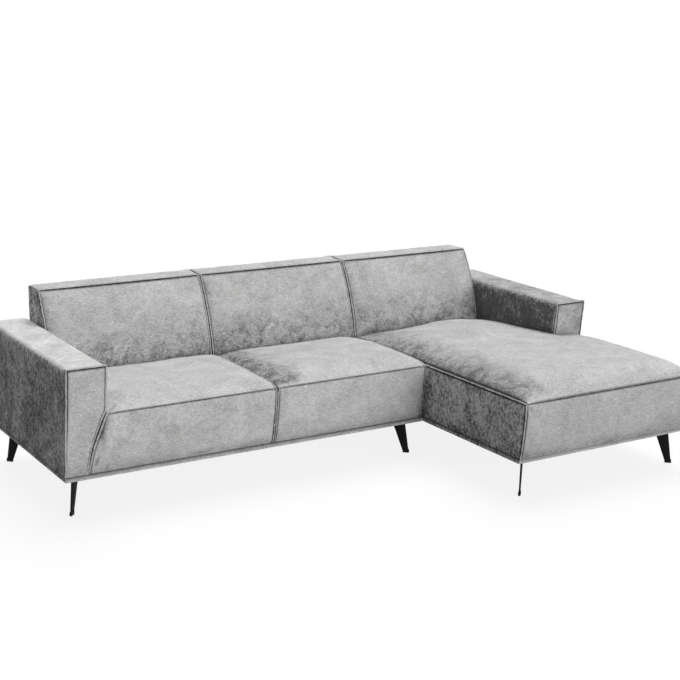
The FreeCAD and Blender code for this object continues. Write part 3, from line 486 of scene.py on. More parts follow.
@dataclass(frozen=True)
class Chenille:
    """Mottled chenille velvet: short flecks, with painted light and shade in patches and painted
    shade at seams.

    Its value runs from dark to light. Sides that face left, which the lamps leave in shade, have
    patterns of their own, with painted glints and deeper painted shade. Scales count waves to a
    metre.
    """

    name: str = "chenille_velvet"
    dark: Colour = (0.118, 0.126, 0.122, 1.0)
    light: Colour = (0.88, 0.88, 0.87, 1.0)
    shade: Colour = (0.018, 0.02, 0.02, 1.0)
    mean: float = 0.5
    fleck: float = 0.7
    fleck_scale: Triple = (85, 230, 250)
    side_fleck: float = 3.0
    side_scale: Triple = (95, 78, 58)
    side_turn: float = 20.0
    glint: float = 0.8
    glint_scale: Triple = (130, 120, 85)
    glint_range: Span = (0.56, 0.68)
    cloud: float = 0.45
    side_cloud: float = 2.2
    cloud_scale: float = 7.5
    mottle: float = 0.22
    side_mottle: float = 0.6
    mottle_scale: Triple = (34, 52, 52)
    grain: float = 0.7
    grain_scale: float = 330.0
    crush: float = 0.62
    patch_scale: float = 14.0
    broken_scale: Triple = (80, 100, 75)
    relief: float = 0.0022

    def make(self) -> bpy.types.Material:
        """Return the material."""
        paint = Paint(self.name, Roughness=0.95, Sheen_Weight=0.1, Sheen_Roughness=0.6, IOR=1.3)
        place, side, crush = paint.place(), paint.mark("side"), paint.mark("crush")
        fleck = self._flecks(paint, place, side)
        grain = paint.noise(place, self.grain_scale, 1.0) - 0.5
        mottle = paint.noise(paint.scaled(place, self.mottle_scale), 1.0, 3.0, 0.8) - 0.5
        cloud = paint.noise(place, self.cloud_scale, 4.0, 0.8) - 0.5
        glint = paint.noise(paint.scaled(place, self.glint_scale), 1.0, 2.0, 1.0)
        glint = paint.ramp(glint, *self.glint_range)
        # Less fleck contrast where painted shade lies deep on left-facing sides.
        lively = (1 - crush * side * 0.45).clamped()
        # On left-facing sides, which the lamps leave in shade, stronger flecks, clouds and mottling
        # and the glints paint the light that the nap catches there.
        value = fleck * paint.blend(side, self.fleck, self.side_fleck) * lively + self.mean
        value = value + cloud * paint.blend(side, self.cloud, self.side_cloud) * lively
        value = value + mottle * paint.blend(side, self.mottle, self.side_mottle)
        value = value + grain * self.grain + glint * side * lively * self.glint
        # Painted shade from the point mark, in broken patches; where the mark is below 0 it paints
        # light.
        value = value - crush * self._shade_patches(paint, place, side) * self.crush
        colour = paint.mix(value.clamped(), self.dark, self.light)
        # Painted shade in seams, beside welts and in puckers, from the seam mark.
        seam = (paint.mark("seam") * (mottle * 0.7 + 0.97)).clamped()
        paint.use("Base Color", paint.mix(seam, colour, self.shade))
        paint.bump(fleck * 0.7 + grain * 0.3, self.relief, 0.75)
        return paint.material

    def _flecks(self, paint: Paint, place: Wire, side: Wire) -> Wire:
        """Return the short flecks of the yarn, which stand slanted on sides that face left."""
        flat = paint.noise(paint.scaled(place, self.fleck_scale), 1.0, 2.0, 0.6)
        turned = paint.scaled(place, self.side_scale, (math.radians(self.side_turn), 0, 0))
        return paint.blend(side, flat, paint.noise(turned, 1.0, 3.0, 0.8)) - 0.5

    def _shade_patches(self, paint: Paint, place: Wire, side: Wire) -> Wire:
        """Return how deep the painted shade is: in broken patches, more even and deeper on
        left-facing sides.
        """
        broken = paint.noise(paint.scaled(place, self.broken_scale), 1.0, 2.0, 1.0) - 0.5
        patches = (paint.noise(place, self.patch_scale, 4.0, 1.2) - 0.4) * 2.2 + broken * 1.7
        return paint.blend(side, patches.clamped() + 0.25, patches.clamped() * 0.4 + 0.6)


@dataclass(frozen=True)
class PlainFinish:
    """A finish with one colour that varies a little, and a fine bump."""

    name: str
    colour: Triple
    vary: float = 0.15
    scale: Triple = (60, 60, 60)
    roughness: float = 0.5
    metallic: float = 0.0
    gloss: float = 0.5
    bump: float = 0.0002

    def make(self) -> bpy.types.Material:
        """Return the material."""
        paint = Paint(self.name, Metallic=self.metallic, Specular_IOR_Level=self.gloss)
        spots = paint.noise(paint.scaled(paint.place(), self.scale), 1.0, 4.0, 0.3)
        dark = tuple(part * (1 - self.vary) for part in self.colour)
        light = tuple(min(1.0, part * (1 + self.vary)) for part in self.colour)
        paint.use("Base Color", paint.mix(paint.ramp(spots, 0.3, 0.7), (*dark, 1), (*light, 1)))
        paint.use("Roughness", (spots - 0.5) * 0.3 + self.roughness)
        paint.bump(spots, self.bump, 0.5)
        return paint.material


# Soft blocks

FAR = 99.0


@dataclass(frozen=True)
class Ridge:
    """A welt along one edge of a soft block, and how far it stands out of the edge."""

    rim: Rim
    thickness: float
    lift: Triple
    span: Span = (0.0, 1.0)


@dataclass(frozen=True)
class Crease:
    """A small pucker that runs over one face of a soft block.

    Its ends are given along the two axes of the face, in the order X, Y, Z.
    """

    side: Side
    start: Span
    end: Span
    depth: float = 2.5
    width: float = 6.0

    def share(self, place: Vector, away: Vector) -> float:
        """Return how much of the crease's depth a place has.

        Args:
            place: a place of the block in millimetres.
            away: the direction away from the block there.

        Returns:
            1 along the crease's middle, falling to 0.
        """
        axis, end = self.side.value
        if away[axis] * (1 if end else -1) < 0.5:
            return 0.0
        flat = Vector([place[i] for i in range(3) if i != axis])
        start, line = Vector(self.start), Vector(self.end) - Vector(self.start)
        along = min(1.0, max(0.0, (flat - start).dot(line) / line.length_squared))
        gap = (flat - start - line * along).length
        return math.exp(-((gap / self.width) ** 2))


@dataclass(frozen=True)
class Stuffing:
    """How the fill swells a cover between its seams, as a short cloth simulation."""

    pressure: float = 4.0
    slack: float = 0.006
    cap: float = 9.0
    frames: int = 13

    def swell(self, piece: bpy.types.Object, held: Sequence[float]) -> None:
        """Swell a piece and keep its points within the cap.

        Args:
            piece: the cover as a closed mesh.
            held: how firmly each point is held, from 0 to 1.
        """
        start = [vertex.co.copy() for vertex in piece.data.vertices]
        group = piece.vertex_groups.new(name="held")
        for index, firmness in enumerate(held):
            group.add([index], firmness, "REPLACE")
        activate(piece)
        cloth = piece.modifiers.new("filling", "CLOTH")
        cloth.point_cache.frame_end = self.frames
        values = cloth.settings
        values.quality = 4
        values.vertex_group_mass = group.name
        values.use_pressure = True
        values.uniform_pressure_force = self.pressure
        values.shrink_min = -self.slack
        values.effector_weights.gravity = 0
        for frame_number in range(1, self.frames + 1):
            bpy.context.scene.frame_set(frame_number)
        bpy.ops.object.modifier_apply(modifier=cloth.name)
        bpy.context.scene.frame_set(1)
        piece.vertex_groups.clear()
        furthest = 0.0
        for vertex, home in zip(piece.data.vertices, start):
            move = vertex.co - home
            if move.length > 1e-7:
                furthest = max(furthest, move.length)
                limit = self.cap * MM
                vertex.co = home + move * (limit * math.tanh(move.length / limit) / move.length)
        log.info("%s swelled by up to %.1f mm", piece.name, furthest / MM)


@dataclass
class SoftBlock:
    """A closed upholstered block on a grid that is finer near its seams.

    A subclass says in `point` where a place of the block lies: u runs to the right, v to
    the rear and w upwards, each from 0 to 1 and counted on the block's surface.
    """

    name: str
    body: Body
    lengths: Triple
    seams: tuple[Rim, ...] = ()
    welts: tuple[Ridge, ...] = ()
    free: tuple[Side, ...] = ()
    creases: tuple[Crease, ...] = ()
    stuffing: Stuffing = Stuffing()
    coarse: float = 11.5
    fixed: tuple[tuple[float, ...], ...] = ((), (), ())
    pillow: float = 4.0
    reach: float = 9.0
    line: float = 1.3
    line_fade: float = 4.0
    held_reach: float = 8.0
    unrest: float = 1.2
    unrest_fade: float = 30.0
    seed: float = 0.0

    def point(self, u: float, v: float, w: float) -> Vector:
        """Return the block's place at u, v, w in millimetres."""
        raise NotImplementedError

    def settle(self, share: list[float]) -> list[float]:
        """Return the place of the block that stands for a grid place."""
        return share

    def painted_shading_at(self, place: Vector) -> float:
        """Return the painted shade at a place, from 0 to 1; a value below 0 paints light."""
        return 0.0

    def distance(self, share: Sequence[float], rim: Rim) -> float:
        """Return how far a place of the block lies from one of its edges."""
        return math.hypot(*(abs(share[axis] - end) * self.lengths[axis] for axis, end in rim.value))

    def drawn_in(self, share: Sequence[float]) -> Vector:
        """Return how far the seams pull a place of the surface in."""
        pull = Vector()
        for rim in self.seams:
            depth = self.pillow * math.exp(-self.distance(share, rim) / self.reach)
            for axis, end in rim.value:
                if abs(share[axis] - end) < 1e-6 and (axis, end) != Side.FOOT.value:
                    pull[axis] += depth if end == 0 else -depth
        return pull

    def firmness(self, share: Sequence[float], gap: float) -> float:
        """Return how firmly a place is held while the cover swells.

        Args:
            share: the place as u, v, w.
            gap: its distance from the nearest seam.

        Returns:
            0 where the cover is free to 1 at its seams and hidden sides.
        """
        on_free = on_held = False
        for side in Side:
            axis, end = side.value
            if abs(share[axis] - end) < 1e-6:
                on_free = on_free or side in self.free
                on_held = on_held or side not in self.free
        if on_held or not on_free:
            return 1.0
        return 1.0 - ease(gap / self.held_reach)

    def shade(self, share: Sequence[float], gap: float, fold: float) -> float:
        """Return the painted shade of a place: in seams, beside welts and in puckers.

        Args:
            share: the place as u, v, w.
            gap: its distance from the nearest seam.
            fold: the depth of the puckers there.

        Returns:
            0 on the open cover to 1 in a seam.
        """
        edges = (self.distance(share, ridge.rim) - ridge.thickness / 2 for ridge in self.welts)
        beside = min(edges, default=FAR) - 0.7 * self.pillow - 2.4
        dark = min(gap - self.line, beside)
        return max(1 - ease(dark / self.line_fade), min(0.6, fold * 0.13))

    def build(self) -> bpy.types.Object:
        """Return the block as a mesh in its place."""
        stations = [
            graded(length, self.coarse, fixed) for length, fixed in zip(self.lengths, self.fixed)
        ]
        piece = self._grid([len(places) - 1 for places in stations])
        mesh = piece.data
        marks = {
            name: mesh.attributes.new(name, "FLOAT", "POINT") for name in ("seam", "crush", "held")
        }
        for vertex in mesh.vertices:
            steps = zip(vertex.co, stations)
            share = self.settle([places[round(at * (len(places) - 1))] for at, places in steps])
            gap = min((self.distance(share, rim) for rim in self.seams), default=FAR)
            place, away = self.point(*share), self.outwards(share)
            fold = max((c.share(place, away) * c.depth for c in self.creases), default=0.0)
            # Painted shade at seams, welts and puckers, and each block's painted light and shade.
            marks["seam"].data[vertex.index].value = self.shade(share, gap, fold)
            marks["crush"].data[vertex.index].value = self.painted_shading_at(place)
            marks["held"].data[vertex.index].value = self.firmness(share, gap)
            spot = to_frame(*(place + self.drawn_in(share)))
            wave = ripple(spot, 9.0, self.seed) + 0.5 * ripple(spot, 23.0, self.seed + 5)
            lift = wave * self.unrest * ease(gap / self.unrest_fade) - fold
            vertex.co = spot + away * (lift * MM)
        edit(piece, "VERT", lambda vertex: True)
        bpy.ops.mesh.remove_doubles(threshold=2e-5)
        close_edit()
        if self.free:
            self.stuffing.swell(piece, [mark.value for mark in mesh.attributes["held"].data])
        piece.data.attributes.remove(piece.data.attributes["held"])
        subdivide_surface(piece)
        return piece

    @staticmethod
    def outwards(share: Sequence[float]) -> Vector:
        """Return the direction away from the block at a place of its surface."""
        away = Vector()
        for axis in range(3):
            if share[axis] < 1e-6:
                away[axis] = -1
            elif share[axis] > 1 - 1e-6:
                away[axis] = 1
        return away.normalized()

    def welt_path(self, ridge: Ridge) -> list[Vector]:
        """Return the points of a welt along one edge, in millimetres."""
        fixed = dict(ridge.rim.value)
        (free,) = (axis for axis in range(3) if axis not in fixed)
        made, last = [], 70
        for i in range(last + 1):
            share = [float(fixed.get(axis, 0)) for axis in range(3)]
            share[free] = lerp(*ridge.span, i / last)
            inner = list(share)
            inner[free] = min(0.99, max(0.01, share[free]))
            made.append(self.point(*share) + self.drawn_in(inner) + Vector(ridge.lift))
        return made

    def _grid(self, counts: Sequence[int]) -> bpy.types.Object:
        """Return a unit cube whose edges are cut into that many parts along each axis."""
        deselect()
        bpy.ops.mesh.primitive_cube_add(size=1, location=(0.5, 0.5, 0.5))
        piece = bpy.context.object
        bpy.ops.object.transform_apply(location=True, rotation=True, scale=True)
        for axis, count in enumerate(counts):
            others = [i for i in range(3) if i != axis]

            def along(edge: bmesh.types.BMEdge) -> bool:
                """Tell whether an edge runs along the axis."""
                start, end = (vertex.co for vertex in edge.verts)
                return all(abs(start[i] - end[i]) < 1e-6 for i in others)

            if count > 1:
                edit(piece, "EDGE", along)
                bpy.ops.mesh.subdivide(number_cuts=count - 1)
                close_edit()
        piece.name = piece.data.name = self.name
        return piece


# Shapes that several pieces share

FOOT = 177.0
HIDDEN_FOOT = 169.0
SEAM = 434.0
DECK = 273.6
ARM_TOP = 640.0
ARM_WIDTH = 175.0
ARM_LEAN = 50.0
ARM_REAR = 942.0
ARM_SKIN_FRONT = 20.2
PANEL_THICKNESS = 19.6
BASE_FOOT = 157.0
BAND_TOP = 179.5
BAND_THICKNESS = 5.0
REAR_INSIDE = 921.0
REAR_OUTSIDE = 926.0
REAR_TOP = 797.0
REAR_OVERLAP = 1.1
FLANGE = 16.2
SLANT_GAP = 0.6
SLANT = Profile(
    (
        (177, 99), (192, 100), (246, 106), (299, 117), (347, 133),
        (383, 146), (424, 162), (441, 171), (452, 176.5),
    )
)


def arm_lean(z: float) -> float:
    """Return how far an arm's leaning front stands back at a height."""
    return ARM_LEAN * (ARM_TOP - z) / (ARM_TOP - BASE_FOOT)


@dataclass
class SeatCushion(SoftBlock):
    """A seat: a front panel that leans and swells, and a crowned top panel.

    The top panel rises from its edges by three profiles. Where a field holds a start and a
    length, the change begins at the start and is complete a length behind it.
    """

    left: float = 0.0
    right: float = 0.0
    front: float = 12.0
    front_foot: float = 51.0
    rear: float = 665.0
    tray: float = 60.5
    crown: float = 36.0
    bulge: float = 7.0
    rear_drop: float = 0.0
    drop_across: float = 120.0
    drop_along: Span = (400, 260)
    beside_arm: bool = False
    side: Profile = Profile(((0, 0.5), (60, 0.88), (200, 1.0)))
    rise: Profile = Profile(
        ((0, 0), (10, 0.26), (34, 0.56), (60, 0.74), (90, 0.86), (160, 0.95), (300, 1))
    )
    fall: Profile = Profile(((0, 0), (30, 0.36), (90, 0.74), (220, 1)))
    # Painted light over the front; painted shade low on the front, beside the slanted seam and on
    # the top's left slope.
    front_shading: float = -0.25
    foot_shade: float = 0.5
    foot_reach: float = 50.0
    slant_shade: float = 2.8
    slant_reach: float = 22.0
    slant_rise: Span = (265, 100)
    slope_shade: float = 0.9
    slope_across: float = 220.0
    slope_along: float = 40.0

    def height(self, x: float, y: float) -> float:
        """Return the height of the top panel."""
        across = self.side.at(x - self.left) * self.side.at(self.right - x)
        along = self.rise.at(y - self.front) * self.fall.at(self.rear - y)
        nearest = min(x - self.left, self.right - x)
        dropped = fade_over(nearest, self.drop_across) * rise_over(y, *self.drop_along)
        return SEAM + self.crown * across * along - self.rear_drop * dropped

    def under(self, x: float, y: float) -> float:
        """Return the height of the underside, which steps up over the frame."""
        return HIDDEN_FOOT if y < self.front + self.tray else DECK

    def left_side(self, y: float, z: float, v: float) -> float:
        """Return the place of the left side, cut along the slanted seam beside the arm."""
        if self.beside_arm and v * self.lengths[1] < FLANGE:
            return min(self.left, SLANT.at(z) + SLANT_GAP)
        return self.left

    def right_side(self, y: float, z: float) -> float:
        """Return the place of the right side."""
        return self.right

    def front_at(self, z: float) -> float:
        """Return the place of the front panel, which leans back towards its foot."""
        share = min(1.0, max(0.0, (z - FOOT) / (SEAM - FOOT)))
        return lerp(self.front_foot, self.front, share) - self.bulge * bow(share)

    def painted_shading_at(self, place: Vector) -> float:
        """Return painted light on the front and painted shade low on it, by the slant and on the
        top's left slope.
        """
        if place.z < SEAM - 1:
            low = self.front_shading + self.foot_shade * fade_over(place.z - FOOT, self.foot_reach)
            if not self.beside_arm:
                return low
            off = (place.x - SLANT.at(place.z)) / self.slant_reach
            beside = self.slant_shade * rise_over(place.z, *self.slant_rise)
            return low + beside * math.exp(-(off**2))
        slope = fade_over(place.x - self.left, self.slope_across)
        return slope * ease((place.y - self.front) / self.slope_along) * self.slope_shade

    def point(self, u: float, v: float, w: float) -> Vector:
        """Return the seat's place at u, v, w."""
        x, y = lerp(self.left, self.right, u), lerp(self.front, self.rear, v)
        top = SEAM if v < 1e-6 else self.height(x, y)
        z = lerp(self.under(x, y), top, w)
        y = lerp(self.front_at(z), self.rear, v)
        return Vector((lerp(self.left_side(y, z, v), self.right_side(y, z), u), y, z))


@dataclass
class ChaiseCushion(SeatCushion):
    """The chaise's long seat, whose left side and both front corners show.

    Its grid is notched beside the right arm: the room that the arm takes up is folded flat.
    """

    side_lean: float = 14.0
    side_swell: float = 5.0
    right_lean: float = 8.0
    right_swell: float = 4.0
    arm_left: float = 2536.2
    seat_front: float = 40.0
    tray_rear: float = 47.0
    tray_walls: Triple = (62.0, 25.5, 22.5)
    notch_start: float = 748.2 / 1375
    notch_end: float = 748.8 / 1375
    notch_blend: float = 0.05
    hidden_from: float = 735.0
    near_arm: Profile = Profile(
        ((0, 0.0), (96, 0.24), (180, 0.38), (340, 0.54), (500, 0.70), (630, 0.84), (860, 1.0))
    )
    gentler: Span = (2150, 390)
    dome: float = 9.0
    dome_across: Span = (1900, 640)
    dome_along: Span = (450, 200)
    hollow: float = 24.0
    hollow_across: Span = (250, 400)
    hollow_along: Span = (250, 350)

    @property
    def arm_share(self) -> float:
        """Return the share of the width that is left of the right arm."""
        return (self.arm_left - self.left) / (self.right - self.left)

    def height(self, x: float, y: float) -> float:
        """Return the height of the top panel, which falls gently along the arm."""
        across = self.side.at(x - self.left) * self.side.at(self.right - x)
        steep, gentle = self.fall.at(self.rear - y), self.near_arm.at(self.rear - y)
        along = self.rise.at(y - self.front) * lerp(steep, gentle, rise_over(x, *self.gentler))
        start, length = self.dome_across
        middle = min(1.0, max(0.0, (x - start) / length))
        domed = self.dome * math.sin(math.pi * middle) * rise_over(y, *self.dome_along)
        start, length = self.hollow_across
        sunk = fade_over(x - self.left - start, length) * rise_over(y, *self.hollow_along)
        return SEAM + self.crown * across * along + domed - self.hollow * across * sunk

    def under(self, x: float, y: float) -> float:
        """Return the height of the underside, a tray round the frame."""
        at_front, at_left, at_right = self.tray_walls
        if y > self.tray_rear:
            return DECK
        shows = y < self.front + at_front or x < self.left + at_left or x > self.right - at_right
        return HIDDEN_FOOT if shows else DECK

    def left_side(self, y: float, z: float, v: float) -> float:
        """Return the place of the left side, which leans in towards its foot."""
        share = min(1.0, max(0.0, (SEAM - z) / (SEAM - FOOT)))
        swell = self.side_swell * bow(share) if y < self.seat_front else 0.0
        return self.left + self.side_lean * share - swell

    def right_side(self, y: float, z: float) -> float:
        """Return the place of the right side."""
        share = min(1.0, max(0.0, (SEAM - z) / (SEAM - FOOT)))
        return self.right - self.right_lean * share + self.right_swell * bow(share)

    def settle(self, share: list[float]) -> list[float]:
        """Return the place that a place of the room beside the right arm falls together with."""
        u, v, w = share
        return [min(u, self.arm_share), v, w] if v > self.notch_start + 1e-6 else share

    def firmness(self, share: Sequence[float], gap: float) -> float:
        """Return how firmly a place is held, also beside the arm and the two-seater."""
        u, v, w = share
        beside_arm = v > self.notch_start - 0.02 and u > self.arm_share - 0.002
        beside_seat = u < 1e-6 and v * self.lengths[1] > self.hidden_from
        return 1.0 if beside_arm or beside_seat else super().firmness(share, gap)

    def point(self, u: float, v: float, w: float) -> Vector:
        """Return the seat's place at u, v, w, with its end wall along the arm's leaning front."""
        place = super().point(u, v, w)
        if self.notch_start - 1e-6 <= v <= self.notch_end + 1e-6:
            blend = ease((u - self.arm_share + self.notch_blend) / self.notch_blend)
            place.y += arm_lean(place.z) * blend
        return place


@dataclass
class BackSection(SoftBlock):
    """A section of the backrest: upright behind the seat, then leaning with a swell."""

    left: float = 0.0
    right: float = 0.0
    face: float = 666.0
    top_front: float = 808.0
    rear: float = 921.2
    inner_rear: float = 874.0
    ledge: float = 772.0
    wall: float = 3.5
    foot: float = 290.0
    top: float = 798.0
    swell: float = 31.0
    draw_in: float = 10.0
    seam_draw: float = 0.6
    crown: float = 4.0
    end_walls: tuple[bool, bool] = (False, False)
    ears: Span = (0.0, 0.0)
    ear_reach: float = 26.0
    fullness: Profile = Profile(((0, 0), (35, 0.55), (110, 1.0)))
    # Painted shade low on the face, beside the left joint and faintly over the whole face.
    low_shade: float = 0.8
    low_reach: float = 270.0
    joint_shade: float = 0.5
    joint_reach: float = 60.0
    face_shade: float = 0.1
    face_end: float = 800.0

    def face_at(self, x: float, z: float) -> float:
        """Return the place of the front face, fullest in the middle of its width."""
        full = self.fullness.at(x - self.left) * self.fullness.at(self.right - x)
        drawn = self.draw_in * (1 - full)
        share = max(0.0, (z - SEAM) / (self.top - SEAM))
        straight = lerp(self.face, self.top_front, share)
        return straight - bow(share) * (self.swell - drawn) + self.seam_draw * drawn * (1 - share)

    def rear_at(self, x: float, z: float) -> float:
        """Return the place of the rear, which steps round the frame."""
        at_left = self.end_walls[0] and x < self.left + self.wall
        at_right = self.end_walls[1] and x > self.right - self.wall
        return self.rear if z > self.ledge or at_left or at_right else self.inner_rear

    def painted_shading_at(self, place: Vector) -> float:
        """Return painted shade low on the face, beside its left joint and faintly over the rest of
        it.
        """
        if place.y >= self.face_end:
            return 0.0
        low = fade_over(place.z - SEAM, self.low_reach) * self.low_shade
        beside = fade_over(place.x - self.left, self.joint_reach) * self.joint_shade
        return max(low, beside, self.face_shade)

    def point(self, u: float, v: float, w: float) -> Vector:
        """Return the section's place at u, v, w."""
        x, z = lerp(self.left, self.right, u), lerp(self.foot, self.top, w)
        y = lerp(self.face_at(x, z), self.rear_at(x, z), v)
        if w > 1 - 1e-6:
            z += self.crown * math.sin(math.pi * v) * (1 - (2 * u - 1) ** 6)
            for ear, gap in zip(self.ears, (x - self.left, self.right - x)):
                z += ear * math.exp(-((gap / self.ear_reach) ** 2)) * rise_over(v, 0.3, 0.7)
        return Vector((x, y, z))


@dataclass
class ArmCover(SoftBlock):
    """An arm's padding and cover round its frame, open below."""

    left: float = 0.0
    setback: float = 0.0
    rear: float = ARM_REAR
    skin: float = 14.0
    front_skin: float = 0.9
    rounding: float = 18.0
    board_top: float = 625.8
    slope: Span = (-3.0, 4.0)
    crown: float = 2.5
    skirt: float = 0.0
    skirt_front: float = -1.6
    # Painted shade on the sides and the rear; on the top painted light, and shade where the value
    # is above 0.
    side_crush: Span = (0.45, 0.45)
    rear_shade: float = 0.1
    top_pile: float = -0.45
    top_rise: Span = (606, 30)

    def point(self, u: float, v: float, w: float) -> Vector:
        """Return the arm's place at u, v, w."""
        width, length, _ = self.lengths
        x, y = u * width, v * length
        inside = self.skin < x < width - self.skin and self.front_skin < y < length - self.skin
        top = ARM_TOP + lerp(*self.slope, v)
        z = lerp(self.board_top if inside else FOOT, top, w)
        front = self.skirt_front if z < self.skirt else ARM_SKIN_FRONT
        y = lerp(self.setback + front + arm_lean(z), self.rear, v)
        z += self.crown * math.sin(math.pi * u) if w > 1 - 1e-6 else 0.0
        inwards, down = self._rounded(min(x, width - x), max(0.0, top - z))
        return Vector((self.left + x + (inwards if x < width / 2 else -inwards), y, z - down))

    def painted_shading_at(self, place: Vector) -> float:
        """Return painted shade on the arm's sides and rear; on its top, painted light where the
        value is below 0 and shade where above.
        """
        if place.y > self.rear - 4:
            return self.rear_shade
        inwards = (place.x - self.left) / self.lengths[0]
        sides = self.side_crush[0] if inwards < 0.5 else self.side_crush[1]
        return lerp(sides, self.top_pile, rise_over(place.z, *self.top_rise))

    def _rounded(self, side: float, depth: float) -> Span:
        """Return the moves inwards and down that round the long top edges.

        Args:
            side: distance from the nearer side.
            depth: distance below the top.

        Returns:
            The move away from the side and the move down.
        """
        away = Vector((self.rounding - side, self.rounding - depth))
        if min(away) <= 0 or away.length <= self.rounding:
            return 0.0, 0.0
        held = away * (self.rounding / away.length)
        return away.x - held.x, away.y - held.y


@dataclass
class ArmPanel(SoftBlock):
    """The padded panel on an arm's leaning front."""

    left: float = 0.0
    setback: float = 0.0
    foot: float = HIDDEN_FOOT
    slanted: bool = False
    slant_gap: float = 0.4
    puff: float = 3.0
    # Painted light over the panel where the level is below 0 and shade where it is above; painted
    # shade low on it.
    pile: float = -0.08
    foot_shade: float = 0.35
    foot_reach: float = 70.0

    def point(self, u: float, v: float, w: float) -> Vector:
        """Return the panel's place at u, v, w."""
        z = lerp(self.foot, ARM_TOP, w)
        cut = SLANT.at(z) - self.slant_gap
        right = min(ARM_WIDTH, cut) if self.slanted else ARM_WIDTH
        swell = self.puff * (1 - (2 * u - 1) ** 4) * (1 - (2 * w - 1) ** 8)
        y = self.setback + arm_lean(z) + lerp(-swell, PANEL_THICKNESS, v)
        return Vector((self.left + u * right, y, z))

    def painted_shading_at(self, place: Vector) -> float:
        """Return painted shade low on the panel, and over it painted light where the level is below
        0, shade where above.
        """
        return self.pile + self.foot_shade * fade_over(place.z - FOOT, self.foot_reach)


@dataclass
class Strip(SoftBlock):
    """A straight strip or panel of padded fabric that swells towards one side."""

    low: Triple = (0, 0, 0)
    high: Triple = (1, 1, 1)
    outer: Side = Side.FRONT
    puff: float = 1.5

    def point(self, u: float, v: float, w: float) -> Vector:
        """Return the strip's place at u, v, w."""
        share = (u, v, w)
        place = Vector(lerp(a, b, s) for a, b, s in zip(self.low, self.high, share))
        axis, end = self.outer.value
        if abs(share[axis] - end) < 1e-6:
            along = share[1 - axis]
            swell = (1 - (2 * w - 1) ** 4) * (1 - (2 * along - 1) ** 12)
            place[axis] += self.puff * swell * (1 if end else -1)
        return place


@dataclass
class Welt:
    """A pinched seam: a soft ridge that follows a line of the cover."""

    path: list[Vector]
    thickness: float = 5.0
    step: float = 7.0
    wander: float = 0.5
    unevenness: float = 0.22
    seed: float = 0.0

    def build(self, name: str) -> bpy.types.Object:
        """Return the ridge as a mesh tube with tapered, closed ends."""
        curve = bpy.data.curves.new(name, "CURVE")
        curve.dimensions = "3D"
        curve.bevel_depth = self.thickness / 2 * MM
        curve.bevel_resolution = 2
        curve.use_fill_caps = True
        points = self._evened()
        last = len(points) - 1
        spline = curve.splines.new("POLY")
        spline.points.add(last)
        for i, (place, spot) in enumerate(zip(points, spline.points)):
            here = to_frame(*place)
            stray = Vector([ripple(here, 60.0, self.seed + k * 7) for k in range(3)])
            spot.co = (*(here + stray * self.wander * MM), 1.0)
            tip = min(1.0, 0.45 + min(i, last - i) * 0.3)
            spot.radius = tip * (1 + self.unevenness * ripple(here, 75.0, self.seed))
        piece = bpy.data.objects.new(name, curve)
        bpy.context.scene.collection.objects.link(piece)
        activate(piece)
        bpy.ops.object.convert(target="MESH")
        return bpy.context.object

    def _evened(self) -> list[Vector]:
        """Return the path's points at even steps, with both of its ends."""
        made, carry = [self.path[0].copy()], 0.0
        for start, end in zip(self.path, self.path[1:]):
            length = (end - start).length
            at = self.step - carry
            while at < length:
                made.append(start.lerp(end, at / length))
                at += self.step
            carry = length - (at - self.step)
        return made + [self.path[-1].copy()]


